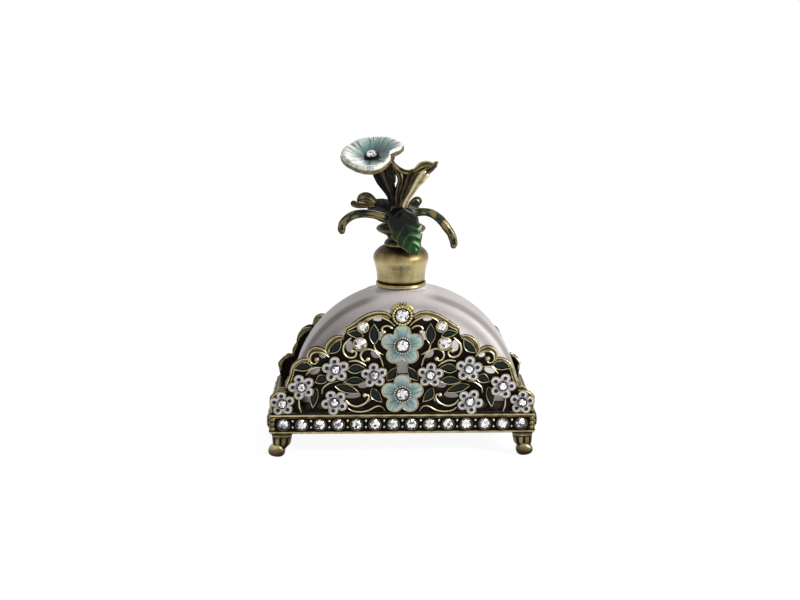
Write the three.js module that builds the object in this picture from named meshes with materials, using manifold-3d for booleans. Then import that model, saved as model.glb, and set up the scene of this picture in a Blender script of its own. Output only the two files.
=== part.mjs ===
import * as THREE from 'three';
import { mergeVertices } from 'three/addons/utils/BufferGeometryUtils.js';
import Module from 'manifold-3d';

const wasm = await Module();
wasm.setup();

// Stand, in millimetres
const standLength = 82.6;
const standDepth = 42;
const footHeight = 7.2;
const footThickness = 5;
const bandHeight = 6.4;
const bandThickness = 1.1;
const railHeight = 0.9;
const railProud = 0.6;
const trayThickness = 1.5;
const trayDrop = 0.7;

// Cup chain of stones round the stand
const stonePitch = 5.7;
const endSpace = 2.3;
const cupRadius = 2;
const cupHeight = 0.9;
const stoneTable = 1.1;
const stoneHeight = 1.5;
const webHeight = 1.4;
const webThickness = 0.4;

// Openwork panels
const panelThickness = 1.2;
const panelSetBack = 0.5;
const panelHeight = 35.6;
const flangeHeight = 1;
const flangeInset = 1.3;
const outerFlowerInset = 9.9;
const cornerFlowerInset = 4.1;
const leafProud = 0.6;
const scrollWidth = 1.15;
const ribWidth = 1;
const scrollEndRadius = 1;
const largeFlowerRadius = 6.8;
const largeFlowerSquash = 0.87;
const smallFlowerRadius = 3.9;
const cornerFlowerRadius = 3.6;
const flowerThickness = 1.3;
const topJewelRadius = 3.2;
const castingTolerance = 0.1;

// Glass flask and its neck
const glassRadius = 36.9;
const glassSideGap = 7.3;
const glassCentreRise = -0.1;
const glassCornerRadius = 4;
const glassEdgeRound = 2.4;
const glassWall = 2.2;
const neckRadius = 6.7;
const boreRadius = 5;
const neckRise = 2.9;
const ringHeight = 2.4;
const ringWidth = 0.8;

// Stopper and its finial
const capRadius = 8.65;
const capHeight = 17.2;
const plugLength = 6.8;
const rodRadius = 1;
const rodLength = 19.5;
const trunkRadius = 2.7;
const trunkHeight = 7;
const stemRadius = 1.9;
const finialFlowerRadius = 9.6;
const finialFlowerThickness = 0.9;
const crystalRadius = 1.7;
const leafThickness = 0.7;
const leafBank = 0.45;
const budLength = 9.5;
const budRadius = 4.2;
const clearance = 0.3;

const bandTop = footHeight + bandHeight;
const innerLength = standLength - 2 * bandThickness;
const innerDepth = standDepth - 2 * bandThickness;
const trayTop = bandTop - trayDrop;
const panelFront = -standDepth / 2 + panelSetBack;
const panelBack = panelFront + panelThickness;
const glassThickness = standDepth - 2 * (panelSetBack + panelThickness + glassSideGap);
const glassCentre = trayTop + glassCentreRise;
const glassTop = glassCentre + glassRadius;
const neckTop = glassTop + neckRise;
const capBottom = neckTop + clearance;
const capTop = capBottom + capHeight;
const plugBottom = capBottom - plugLength;
const rodBottom = plugBottom - rodLength;

const brass = finish(0x97875c, 0.38, 0.9);
const darkBrass = finish(0x54452f, 0.5, 0.85);
const stone = finish(0xdfe3e6, 0.08, 0.1);
const tealEnamel = finish(0x7fa6a8, 0.25, 0);
const lilacEnamel = finish(0xcfcdd8, 0.3, 0);
const whiteEnamel = finish(0xe6e2d2, 0.25, 0);
const greenEnamel = finish(0x2f5a30, 0.25, 0.3);
const glass = finish(0xa8a2a0, 0.25, 0);
const cork = finish(0xa07b50, 0.9, 0);

function finish(color, roughness, metalness) {
  return new THREE.MeshStandardMaterial({ color, roughness, metalness });
}

// A closed mesh as a solid for booleans, with shared corners merged and slivers left out
function solid(geometry) {
  const bare = geometry.clone();
  bare.deleteAttribute('normal');
  bare.deleteAttribute('uv');
  const merged = mergeVertices(bare, 1e-4);
  const index = merged.index.array;
  const triangles = [];
  for (let i = 0; i < index.length; i += 3) {
    const [a, b, c] = [index[i], index[i + 1], index[i + 2]];
    if (a !== b && b !== c && c !== a) triangles.push(a, b, c);
  }
  return new wasm.Manifold(new wasm.Mesh({
    numProp: 3,
    vertProperties: new Float32Array(merged.attributes.position.array),
    triVerts: new Uint32Array(triangles),
  }));
}

function joined(geometries) {
  return geometries.map(solid).reduce((whole, piece) => whole.add(piece));
}

function geometryOf(manifold) {
  const mesh = manifold.getMesh();
  const geometry = new THREE.BufferGeometry();
  geometry.setAttribute('position', new THREE.BufferAttribute(mesh.vertProperties, 3));
  geometry.setIndex(new THREE.BufferAttribute(mesh.triVerts, 1));
  geometry.computeVertexNormals();
  return geometry;
}

function block(x0, x1, y0, y1, z0, z1) {
  const geometry = new THREE.BoxGeometry(x1 - x0, y1 - y0, z1 - z0);
  geometry.translate((x0 + x1) / 2, (y0 + y1) / 2, (z0 + z1) / 2);
  return geometry;
}

// A profile of radius and height turned about the upright axis
function turned(profile, sides) {
  const geometry = new THREE.LatheGeometry(profile.map(([r, z]) => new THREE.Vector2(r, z)), sides);
  geometry.rotateX(Math.PI / 2);
  return geometry;
}

// An outline in x and z cut through from y = back to y = front, where front is the smaller
function plate(outline, back, front) {
  const shape = new THREE.Shape(outline.map(([x, z]) => new THREE.Vector2(x, z)));
  const geometry = new THREE.ExtrudeGeometry(shape, { depth: back - front, bevelEnabled: false });
  geometry.rotateX(Math.PI / 2);
  geometry.translate(0, back, 0);
  return geometry;
}

// Turns a piece made with its face up so that it faces the front, at a place on a plane
function facingFront(geometry, x, y, z) {
  geometry.rotateX(Math.PI / 2);
  geometry.translate(x, y, z);
  return geometry;
}

// Outline of a band that follows a smooth line and narrows to its ends
function ribbon(points, width, steps) {
  const curve = new THREE.SplineCurve(points.map(([x, z]) => new THREE.Vector2(x, z)));
  const one = [];
  const other = [];
  for (let i = 0; i <= steps; i += 1) {
    const at = curve.getPoint(i / steps);
    const along = curve.getTangent(i / steps);
    const half = (width / 2) * (0.7 + 0.3 * Math.sin((Math.PI * i) / steps));
    one.push([at.x - along.y * half, at.y + along.x * half]);
    other.unshift([at.x + along.y * half, at.y - along.x * half]);
  }
  return [...one, ...other];
}

function disc(x, z, radius, sides) {
  return Array.from({ length: sides }, (_, i) => {
    const angle = (2 * Math.PI * (i + 0.5)) / sides;
    return [x + radius * Math.cos(angle), z + radius * Math.sin(angle)];
  });
}

// Outline of a pointed leaf from its root to its tip
function leafOutline([x0, z0], [x1, z1], width) {
  const length = Math.hypot(x1 - x0, z1 - z0);
  const [ax, az] = [(x1 - x0) / length, (z1 - z0) / length];
  const shares = [[0, 0.12], [0.2, 0.36], [0.45, 0.5], [0.75, 0.34], [1, 0.05]];
  const side = (turn) => shares.map(([along, half]) => [
    x0 + ax * length * along - az * width * half * turn,
    z0 + az * length * along + ax * width * half * turn,
  ]);
  return [...side(1), ...side(-1).reverse()];
}

// A lobed dish: rings of share of the rim and top height, over an underside a wall below or flat at 0
function dish({ radius, petals, notch, perPetal, centre, rings, wall }) {
  const around = petals * perPetal;
  const positions = [0, 0, centre, 0, 0, wall ? centre - wall : 0];
  const triangles = [];
  const addRing = (share, height) => {
    for (let i = 0; i < around; i += 1) {
      const turn = (2 * Math.PI * i) / around;
      const lobe = 1 - notch * share * (1 - Math.abs(Math.cos((petals * turn) / 2)));
      const angle = Math.PI / 2 + turn;
      const reach = radius * share * lobe;
      positions.push(reach * Math.cos(angle), reach * Math.sin(angle), height);
    }
  };
  const under = wall ? rings.map(([share, top]) => [share, top - wall]) : [[1, 0]];
  const loops = [...rings, ...under.reverse()];
  loops.forEach(([share, height]) => addRing(share, height));
  const last = 2 + (loops.length - 1) * around;
  for (let i = 0; i < around; i += 1) {
    const next = (i + 1) % around;
    triangles.push(0, 2 + i, 2 + next, 1, last + next, last + i);
    for (let loop = 2; loop < last; loop += around) {
      triangles.push(loop + i, loop + around + i, loop + around + next);
      triangles.push(loop + i, loop + around + next, loop + next);
    }
  }
  const geometry = new THREE.BufferGeometry();
  geometry.setAttribute('position', new THREE.Float32BufferAttribute(positions, 3));
  geometry.setIndex(triangles);
  return geometry;
}

// A ridged blade along a path, widest before its middle, with a thin root and tip.
// Blades that reach sideways bank so that their upper face turns to the front.
function blade(points, width, thickness, steps) {
  const curve = new THREE.CatmullRomCurve3(points.map((p) => new THREE.Vector3(...p)));
  const up = new THREE.Vector3(0, 0, 1);
  const positions = [];
  const triangles = [];
  const place = (at, across, sideways, normal, lift) => {
    const p = at.clone().addScaledVector(across, sideways).addScaledVector(normal, lift);
    positions.push(p.x, p.y, p.z);
  };
  const outwards = new THREE.Vector3().subVectors(curve.getPoint(1), curve.getPoint(0)).setZ(0).normalize();
  const across = new THREE.Vector3().crossVectors(outwards, up);
  across.addScaledVector(up, across.y * leafBank).normalize();
  for (let i = 0; i <= steps; i += 1) {
    const t = i / steps;
    const at = curve.getPoint(t);
    const along = curve.getTangent(t);
    const normal = new THREE.Vector3().crossVectors(across, along).normalize();
    const half = (width / 2) * (0.4 - 0.25 * t + 0.6 * Math.sin(Math.PI * t ** 0.75));
    place(at, across, -half, normal, 0);
    place(at, across, 0, normal, thickness);
    place(at, across, half, normal, 0);
    place(at, across, 0, normal, -thickness / 2);
  }
  for (let i = 0; i < steps; i += 1) {
    for (let side = 0; side < 4; side += 1) {
      const a = 4 * i + side;
      const b = 4 * i + ((side + 1) % 4);
      triangles.push(a, b, b + 4, a, b + 4, a + 4);
    }
  }
  const end = 4 * steps;
  triangles.push(0, 3, 2, 0, 2, 1, end, end + 1, end + 2, end, end + 2, end + 3);
  const geometry = new THREE.BufferGeometry();
  geometry.setAttribute('position', new THREE.Float32BufferAttribute(positions, 3));
  geometry.setIndex(triangles);
  return geometry;
}

function tube(points, radius, steps, sides) {
  const shape = new THREE.Shape(disc(0, 0, radius, sides).map(([x, y]) => new THREE.Vector2(x, y)));
  const extrudePath = new THREE.CatmullRomCurve3(points.map((p) => new THREE.Vector3(...p)));
  return new THREE.ExtrudeGeometry(shape, { steps, bevelEnabled: false, extrudePath });
}

const bottle = new THREE.Group();
const stopper = new THREE.Group();
bottle.add(stopper);

function add(name, geometry, material, parent = bottle) {
  const mesh = new THREE.Mesh(geometry, material);
  mesh.name = name;
  parent.add(mesh);
  return mesh;
}

// Band with a rail along its top and bottom, its outer face on y = 0
function band(length) {
  const half = length / 2;
  return geometryOf(joined([
    block(-half, half, 0, bandThickness, footHeight, bandTop),
    block(-half, half, -railProud, bandThickness, footHeight, footHeight + railHeight),
    block(-half, half, -railProud, bandThickness, bandTop - railHeight, bandTop),
  ]));
}

// Stones in cups on one web, as a cup chain is sold, cut to fit a length, its back on y = 0
function stoneChain(length) {
  const count = Math.floor((length - 2 * endSpace) / stonePitch) + 1;
  const half = (stonePitch * (count - 1)) / 2;
  const middle = footHeight + bandHeight / 2;
  const cup = [[0, 0], [cupRadius, 0], [cupRadius, cupHeight], [stoneTable, stoneHeight], [0, stoneHeight]];
  const pieces = [block(-half, half, -webThickness, 0, middle - webHeight / 2, middle + webHeight / 2)];
  for (let i = 0; i < count; i += 1) {
    pieces.push(facingFront(turned(cup, 7), i * stonePitch - half, 0, middle));
  }
  return geometryOf(joined(pieces));
}

// A foot under a front corner, on the side given as -1 or 1
function foot(side) {
  const outer = standLength / 2;
  const outline = [[-7, footHeight], [-0.6, footHeight], [-1.1, 5.2], [0, 3.9], [0.6, 2.3], [0, 0.7],
    [-1.1, 0], [-4.3, 0], [-5, 1.2], [-5.1, 3], [-6.1, 5]];
  const front = -standDepth / 2 - railProud - 1.5;
  return plate(outline.map(([x, z]) => [side * (outer + x), z]), front + footThickness, front);
}

function buildStand() {
  const side = Math.PI / 2;
  add('base_tray', block(-innerLength / 2, innerLength / 2, -innerDepth / 2, innerDepth / 2,
    trayTop - trayThickness, trayTop), brass);
  const faces = [
    ['front', 0, 0, -standDepth / 2, standLength],
    ['back', 2 * side, 0, standDepth / 2, standLength],
    ['right', side, standLength / 2, 0, innerDepth],
    ['left', -side, -standLength / 2, 0, innerDepth],
  ];
  for (const [name, turn, x, y, length] of faces) {
    add(`${name}_band`, band(length).rotateZ(turn).translate(x, y, 0), brass);
    add(`${name}_stone_chain`, stoneChain(length).rotateZ(turn).translate(x, y, 0), stone);
  }
  for (const [name, x, y] of [['front_left', -1, -1], ['front_right', 1, -1], ['back_left', -1, 1],
    ['back_right', 1, 1]]) {
    const geometry = foot(-x * y);
    add(`${name}_foot`, y > 0 ? geometry.rotateZ(Math.PI) : geometry, darkBrass);
  }
}

// Places on a panel: distance from the middle line, and height above the band.
// They are drawn with the outer flower at 31.4, and what lies further out moves with it.
const middleReach = 21.1;
const drawnOuter = 31.4;
const drawnCorner = 37.2;
const outerShift = standLength / 2 - outerFlowerInset - drawnOuter;
const cornerShift = standLength / 2 - cornerFlowerInset - drawnCorner;
const smallFlowers = [
  ['corner', drawnCorner, 3.7, cornerFlowerRadius],
  ['outer', drawnOuter, 9, smallFlowerRadius],
  ['shoulder', 20.7, 14.7, smallFlowerRadius],
  ['inner', 8.7, 12.6, smallFlowerRadius],
  ['lower', 21.1, 4, smallFlowerRadius],
];
const largeFlowers = [['upper', 22.3], ['lower', 6.7]];
const topJewelRise = 31.6;
const smallCollets = [[12.6, 27.9, 1.8], [13.3, 22.7, 2.15]];
const leaves = [
  [[8.8, 22.5], [8.8, 29.1], 3],
  [[12, 24.7], [17.2, 26.6], 2.2],
  [[19.3, 19.8], [22.1, 24], 2.8],
  [[27.9, 15.7], [33.9, 14.4], 3.2],
  [[23.2, 12], [27.3, 10.2], 2.2],
  [[27.2, 1.9], [27.2, 8.8], 3],
  [[11.8, 14.7], [17.6, 15.2], 2.2],
  [[12.4, 11.2], [18.2, 10.3], 2.4],
  [[18.4, 8.2], [13.3, 6.6], 2],
  [[9.4, 5.2], [6.6, 8], 2],
  [[4.6, 12.4], [2.2, 15.2], 2],
];
const scrolls = [
  [[22.8, 18.5], [26.2, 20.6], [28.8, 17.8], [26.9, 17]],
  [[16.4, 25.6], [18.7, 21.9], [18.1, 19.2], [16.3, 18.3], [14.9, 19.6]],
  [[6, 15.3], [7, 18.3], [8.8, 20.5], [10.9, 20.9], [12.9, 19.7], [13, 18], [11.4, 17.4]],
  [[3.1, 27.7], [4.6, 28.2], [6.3, 27.6], [5.8, 26.4]],
  [[2.4, 28.3], [4.6, 30.7], [7.6, 31.7], [10.6, 30.2], [12.4, 28.2]],
  [[25.1, 6.8], [23.4, 9.5], [20.7, 10.2]],
  [[16.9, 3.6], [15.1, 2.8], [12.6, 3.3], [10.7, 5], [11.6, 6.2]],
  [[16.9, 1.6], [11.8, 0.8], [7.3, 2.8], [5.2, 0.9]],
];
const ribs = [
  [[37.2, 3.7], [37.2, 0.5]], [[31.4, 9], [37.2, 3.7]], [[32.1, 5], [31.7, 0.5]], [[21.1, 4], [21.1, 0.5]],
  [[20.7, 14.7], [20.7, 10]], [[27.2, 8.5], [31.4, 9]], [[27.2, 3], [27.2, 0.5]], [[27, 10.3], [27.2, 8]],
  [[23.4, 11.9], [20.7, 14.7]], [[17.4, 15.2], [20.7, 14.7]], [[12.6, 11.2], [8.7, 12.6]],
  [[12.2, 14.8], [13, 18]], [[8.7, 12.6], [0, 6.7]], [[8.7, 12.6], [6, 15.5]], [[8.8, 20.5], [0, 22.3]],
  [[0, 31.4], [0, 0.5]], [[8.8, 20.5], [8.8, 23.2]], [[3.2, 27.7], [0, 28.4]], [[12.6, 27.9], [12.1, 24.8]],
  [[13.3, 22.7], [12.2, 24.9]], [[14.9, 19.2], [12.9, 19.3]], [[18.5, 21.3], [19.8, 20.6]],
  [[18.1, 19.2], [20.7, 14.7]], [[22.8, 18.5], [20.7, 14.7]], [[28.7, 17.6], [28.8, 15.4]],
  [[31.4, 9], [29.6, 15.2]], [[25.1, 6.8], [21.1, 4]], [[18, 8.1], [20.8, 10]], [[8, 6.6], [0, 6.7]],
  [[3.4, 13.8], [0, 13]], [[16.9, 3.6], [21.1, 4]], [[11.6, 6.2], [8.6, 6]], [[18, 10.4], [20.8, 10.2]],
];

// A place moved with the stand's length: not up to the middle flowers, and fully from the outer one on
function shifted(x) {
  const outwards = Math.min(1, Math.max(0, (x - middleReach) / (drawnOuter - middleReach)));
  const beyond = Math.min(1, Math.max(0, (x - drawnOuter) / (drawnCorner - drawnOuter)));
  return x + outwards * outerShift + beyond * (cornerShift - outerShift);
}

function panel() {
  const at = (side) => ([x, rise]) => [side * shifted(x), bandTop + rise];
  const half = standLength / 2 - flangeInset;
  const crownWide = topJewelRadius + 0.4;
  const shoulder = topJewelRise - 0.2;
  const brow = topJewelRise + 1.8;
  const crown = [[-crownWide, shoulder], [-crownWide, brow], [-crownWide / 2, brow + 0.5], [0, panelHeight],
    [crownWide / 2, brow + 0.5], [crownWide, brow], [crownWide, shoulder], [0, shoulder - 3.6]]
    .map(([x, rise]) => [x, bandTop + rise]);
  const flat = [block(-half, half, panelFront, panelBack, bandTop, bandTop + flangeHeight),
    plate(crown, panelBack, panelFront)];
  const raised = [];
  const raisedFront = panelFront - leafProud;
  for (const side of [-1, 1]) {
    for (const points of scrolls) {
      const line = points.map(at(side));
      const [endX, endZ] = line[line.length - 1];
      flat.push(plate(ribbon(line, scrollWidth, points.length + 3), panelBack, panelFront));
      flat.push(plate(disc(endX, endZ, scrollEndRadius, 8), panelBack, panelFront));
    }
    for (const [from, to] of ribs) {
      flat.push(plate(ribbon([from, to].map(at(side)), ribWidth, 1), panelBack, panelFront));
    }
    for (const [, x, rise, radius] of smallFlowers) {
      flat.push(plate(disc(...at(side)([x, rise]), radius * 0.62, 8), panelBack, panelFront));
    }
    for (const [from, to, width] of leaves) {
      raised.push(plate(leafOutline(at(side)(from), at(side)(to), width), panelBack, raisedFront));
    }
    for (const [x, rise, radius] of smallCollets) {
      const collet = [[0, 0], [radius, 0], [radius, 2.2], [radius * 0.6, 2.7], [0, 2.7]];
      const [px, pz] = at(side)([x, rise]);
      raised.push(facingFront(turned(collet, 10), px, panelBack, pz));
    }
  }
  for (const [, rise] of largeFlowers) {
    flat.push(plate(disc(0, bandTop + rise, largeFlowerRadius * 0.6, 12), panelBack, panelFront));
  }
  let proud = joined(raised);
  const depth = leafProud + 3;
  const around = (x, z, radius) => disc(x, z, radius + clearance, 20);
  const clear = (x, z, radius) => solid(plate(around(x, z, radius), panelFront, panelFront - depth));
  for (const side of [-1, 1]) {
    for (const [, x, rise, radius] of smallFlowers) {
      proud = proud.subtract(clear(...at(side)([x, rise]), radius));
    }
  }
  for (const [, rise] of largeFlowers) {
    proud = proud.subtract(clear(0, bandTop + rise, largeFlowerRadius));
  }
  return geometryOf(joined(flat).add(proud).asOriginal().simplify(castingTolerance));
}

function smallFlower(radius) {
  const t = flowerThickness;
  return dish({ radius, petals: 5, notch: 0.3, perPetal: 4, centre: t + 0.9,
    rings: [[0.34, t + 0.5], [0.66, t], [1, t * 0.5]] });
}

function largeFlower() {
  const t = flowerThickness;
  const flower = dish({ radius: largeFlowerRadius, petals: 5, notch: 0.3, perPetal: 6, centre: t + 1.5,
    rings: [[0.2, t + 1.3], [0.32, t + 0.2], [0.7, t + 0.7], [1, t * 0.5]] });
  return flower.scale(1, largeFlowerSquash, 1);
}

function topJewel() {
  const r = topJewelRadius;
  return turned([[0, 0], [r, 0], [r, 0.9], [r * 0.72, 1.3], [r * 0.62, 1.2], [r * 0.4, 2], [0, 2]], 16);
}

function buildPanels() {
  for (const [face, turn] of [['front', 0], ['back', Math.PI]]) {
    const towards = turn === 0 ? 1 : -1;
    const put = (name, geometry, material) => add(`${face}_${name}`, geometry.rotateZ(turn), material);
    put('panel', panel(), brass);
    put('top_jewel', facingFront(topJewel(), 0, panelFront, bandTop + topJewelRise), stone);
    for (const [name, rise] of largeFlowers) {
      put(`${name}_large_flower`, facingFront(largeFlower(), 0, panelFront, bandTop + rise), tealEnamel);
    }
    for (const side of [-1, 1]) {
      const hand = side * towards < 0 ? 'left' : 'right';
      for (const [name, x, rise, radius] of smallFlowers) {
        put(`${hand}_${name}_flower`, facingFront(smallFlower(radius), side * shifted(x), panelFront,
          bandTop + rise), lilacEnamel);
      }
    }
  }
}

// Half-moon outline with round lower corners, drawn in by inset on every side
function moonOutline(inset) {
  const radius = glassRadius - inset;
  const bottom = trayTop + inset;
  const corner = glassCornerRadius - inset / 2;
  const across = radius - corner;
  const rise = bottom + corner - glassCentre;
  const reach = Math.sqrt(across * across - rise * rise);
  const meeting = Math.atan2(rise, reach);
  const outline = [];
  for (let i = 0; i <= 3; i += 1) {
    const angle = -Math.PI / 2 + ((meeting + Math.PI / 2) * i) / 4;
    outline.push([reach + corner * Math.cos(angle), bottom + corner + corner * Math.sin(angle)]);
  }
  for (let i = 0; i <= 14; i += 1) {
    const angle = meeting + ((Math.PI / 2 - meeting) * i) / 14;
    outline.push([radius * Math.cos(angle), glassCentre + radius * Math.sin(angle)]);
  }
  const left = outline.slice(0, -1).reverse().map(([x, z]) => [-x, z]);
  return [...outline, ...left];
}

function glassBottle() {
  const shape = new THREE.Shape(moonOutline(0).map(([x, z]) => new THREE.Vector2(x, z)));
  const body = new THREE.ExtrudeGeometry(shape, {
    depth: glassThickness - 2 * glassEdgeRound, bevelEnabled: true, bevelThickness: glassEdgeRound,
    bevelSize: glassEdgeRound, bevelOffset: -glassEdgeRound, bevelSegments: 2,
  });
  body.rotateX(Math.PI / 2);
  body.translate(0, glassThickness / 2 - glassEdgeRound, 0);
  const hollow = glassThickness / 2 - glassWall;
  const pillar = (radius, low, high) => turned([[0, low], [radius, low], [radius, high], [0, high]], 24);
  const neck = pillar(neckRadius, glassTop - 5, neckTop);
  const bore = pillar(boreRadius, glassTop - 8, neckTop + 1);
  const cavity = plate(moonOutline(glassWall), hollow, -hollow);
  return geometryOf(solid(body).add(solid(neck)).subtract(solid(cavity)).subtract(solid(bore)));
}

function neckRing() {
  const inner = neckRadius + clearance;
  const outer = inner + ringWidth;
  const low = neckTop - ringHeight;
  return turned([[inner, low], [outer - 0.2, low], [outer, low + 0.5], [outer - 0.2, low + ringHeight / 2],
    [outer, neckTop - 0.5], [outer - 0.2, neckTop], [inner, neckTop], [inner, low]], 24);
}

function stopperCap() {
  const share = capRadius / 8.65;
  const profile = [[0, 0], [7.25, 0], [7.4, 0.9], [7.9, 3], [8.6, 5.3], [8.65, 6.4], [8.1, 8.2], [6.3, 10],
    [5.2, 10.2], [5.2, 11.6], [4.1, 11.9], [4, 12.6], [4.9, 13.7], [6.9, 14.9], [7, 15.7], [5.8, 16.8],
    [3.2, capHeight], [0, capHeight]];
  return turned(profile.map(([r, z]) => [r * share, capBottom + z]), 24);
}

function plug() {
  const r = boreRadius - clearance;
  const profile = [[0, plugBottom], [r - 0.5, plugBottom], [r, plugBottom + 0.8], [r, capBottom], [0, capBottom]];
  return turned(profile, 20);
}

function dipperRod() {
  return turned([[0, rodBottom], [1.2, rodBottom + 0.5], [1.7, rodBottom + 1.8], [rodRadius, rodBottom + 4.5],
    [rodRadius, plugBottom], [0, plugBottom]], 12);
}

// Finial, from the knob up
const flowerCentre = new THREE.Vector3(-9.4, 0, capTop + 21.3);
const flowerFacing = new THREE.Vector3(-0.1, -0.52, 0.85).normalize();

function finialStem() {
  const trunk = turned([[0, capTop], [trunkRadius + 0.5, capTop], [trunkRadius, capTop + 1],
    [trunkRadius - 0.2, capTop + trunkHeight], [0, capTop + trunkHeight]], 14);
  const end = flowerCentre.clone().addScaledVector(flowerFacing, -finialFlowerThickness - clearance);
  const before = end.clone().addScaledVector(flowerFacing, -3);
  const stalk = tube([[-0.6, 0, capTop + 3], [-1.4, 0, capTop + 7.5], [-4.2, 0.1, capTop + 12.2],
    before.toArray(), end.toArray()], stemRadius, 10, 10);
  return geometryOf(joined([trunk, stalk]));
}

function finialFlower() {
  const t = finialFlowerThickness;
  return dish({ radius: finialFlowerRadius, petals: 5, notch: 0.2, perPetal: 6, centre: 0, wall: t,
    rings: [[0.3, 0.1], [0.6, 0.7], [0.85, 1.6], [1, 2]] });
}

function crystal() {
  const r = crystalRadius;
  return turned([[0, clearance], [r, clearance], [r, 0.9], [r * 0.8, 1.1], [r * 0.45, 1.9], [0, 1.9]], 12);
}

function trumpetBud() {
  const l = budLength;
  const r = budRadius;
  return turned([[0, 0], [r * 0.34, 0], [r * 0.48, l * 0.25], [r * 0.74, l * 0.65], [r, l], [r * 0.86, l],
    [r * 0.5, l * 0.65], [0, l * 0.5]], 16);
}

function buildFinial() {
  const upwards = new THREE.Vector3(0, 0, 1);
  add('finial_stem', finialStem(), darkBrass, stopper);
  for (const [name, geometry, material] of [['finial_flower', finialFlower(), whiteEnamel],
    ['finial_crystal', crystal(), stone]]) {
    const mesh = add(name, geometry, material, stopper);
    mesh.position.copy(flowerCentre);
    mesh.quaternion.setFromUnitVectors(upwards, flowerFacing);
  }
  const bud = add('trumpet_bud', trumpetBud(), brass, stopper);
  bud.position.set(1.7, 0, capTop + trunkHeight + clearance + 0.45);
  bud.quaternion.setFromUnitVectors(upwards, new THREE.Vector3(0.32, -0.05, 1).normalize());
  const rooted = [
    ['left_front_leaf', 4.6, [[-3, -1.7, 3], [-6, -2.6, 4.4], [-10, -3.4, 4.5], [-14, -4.2, 3.8],
      [-17.5, -5, 1], [-18.9, -5.3, -3.4]]],
    ['left_back_leaf', 5.4, [[-2.9, 2.2, 4.4], [-5.4, 4.4, 7.4], [-8.5, 5.4, 9.1], [-12.5, 6.2, 9.2],
      [-15, 6.7, 7.6], [-16.2, 6.9, 6]]],
    ['right_back_leaf', 3.4, [[2.1, 2.8, 4], [3.3, 4.3, 6.2], [4.9, 5.6, 7.4], [6.3, 6.4, 7]]],
    ['right_front_leaf', 4.6, [[3.2, -1.2, 3], [6, -2, 4.3], [9, -2.8, 4.2], [13, -3.6, 2],
      [15.3, -4.1, -1.6], [15.9, -4.2, -6], [15.6, -4.2, -8.4]]],
    ['centre_front_leaf', 8.6, [[0.4, -3.5, 2.6], [0.9, -5.4, 3], [1.6, -8.3, 1.4], [2.6, -9.8, -1.8],
      [4, -10.2, -5.2], [5.1, -10.1, -8.4]]],
  ];
  for (const [name, width, points] of rooted) {
    const path = points.map(([x, y, z]) => [x, y, capTop + z]);
    add(name, blade(path, width, leafThickness, 8), greenEnamel, stopper);
  }
}

buildStand();
buildPanels();
add('glass_bottle', glassBottle(), glass);
add('neck_ring', neckRing(), brass);
add('stopper_cap', stopperCap(), brass, stopper);
add('stopper_plug', plug(), cork, stopper);
add('dipper_rod', dipperRod(), glass, stopper);
buildFinial();

export default bottle;
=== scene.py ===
import math

import bpy
import numpy as np
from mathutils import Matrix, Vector


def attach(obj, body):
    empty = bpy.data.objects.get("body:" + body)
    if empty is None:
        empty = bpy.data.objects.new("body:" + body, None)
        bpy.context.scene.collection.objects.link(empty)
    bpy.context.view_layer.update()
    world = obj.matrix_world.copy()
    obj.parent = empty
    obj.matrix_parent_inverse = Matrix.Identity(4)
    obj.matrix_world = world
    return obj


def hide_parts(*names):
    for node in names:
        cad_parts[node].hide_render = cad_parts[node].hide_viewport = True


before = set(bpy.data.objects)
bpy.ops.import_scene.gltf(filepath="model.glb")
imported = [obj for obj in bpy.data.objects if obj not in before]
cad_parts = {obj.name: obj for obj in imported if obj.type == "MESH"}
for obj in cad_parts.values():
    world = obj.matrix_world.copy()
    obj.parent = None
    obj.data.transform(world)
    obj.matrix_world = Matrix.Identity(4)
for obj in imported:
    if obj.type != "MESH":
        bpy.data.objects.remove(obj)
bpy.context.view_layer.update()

# Sizes in millimetres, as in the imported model, with heights counted from the table
MM = 0.001
BAND_BOTTOM = 7.2
BAND_TOP = 13.6
BAND_FACE = 21.0
STAND_HALF = 41.3
SIDE_LENGTH = 39.8
PANEL_FACE = 20.5
FOOT_MIDDLE = 20.6
STONE_PITCH = 5.7
STONE_RISE = 10.4
GLASS_CENTRE = 12.8
GLASS_BOTTOM = 12.9
GLASS_RADIUS = 36.85
GLASS_FACE = 12.0
NECK_TOP = 52.6
CAP_BOTTOM = 52.9
CAP_TOP = 70.1

# How far the flask stands to the right, and how a panel's ground lies from the panel's face
GLASS_PLACE = 1.3
GROUND = -0.4
PANEL_BACK = -1.2

# The back panel's crest bends down, from this rise above the band and over this length
CREST_BEND = 1.2
CREST_FOOT = 22
CREST_REACH = 8

# Floor's half length in metres, how brightly it glows, and the world's light as seen and as it falls
FLOOR_HALF = 3
FLOOR_GLOW = 1.16
SKY_SEEN = 1.0
SKY_LIGHT = 0.34


def camera_at(azimuth, elevation, distance, target, lens):
    """A camera at a distance in millimetres from its target, degrees round from the front and up."""
    turn, rise = math.radians(azimuth), math.radians(elevation)
    target = Vector(target) * MM
    away = Vector((math.sin(turn) * math.cos(rise), -math.cos(turn) * math.cos(rise), math.sin(rise)))
    data = bpy.data.cameras.new("camera")
    data.lens = lens
    data.sensor_width = 36
    data.clip_start = 0.01
    camera = bpy.data.objects.new("camera", data)
    camera.location = target + away * distance * MM
    camera.rotation_euler = (-away).to_track_quat("-Z", "Y").to_euler()
    bpy.context.scene.collection.objects.link(camera)
    bpy.context.scene.camera = camera


camera_at(azimuth=-1.23, elevation=13.7, distance=408, target=(-0.29, 0, 44.94), lens=57.02)


# Surfaces: each is its points, its triangles and a mark for each point.
# A mark holds how far to a petal's or leaf's side the point is, its share of the way out, and its wear and
# shading: rubbed wear and patina, with painted shade and painted highlights in places.


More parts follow.
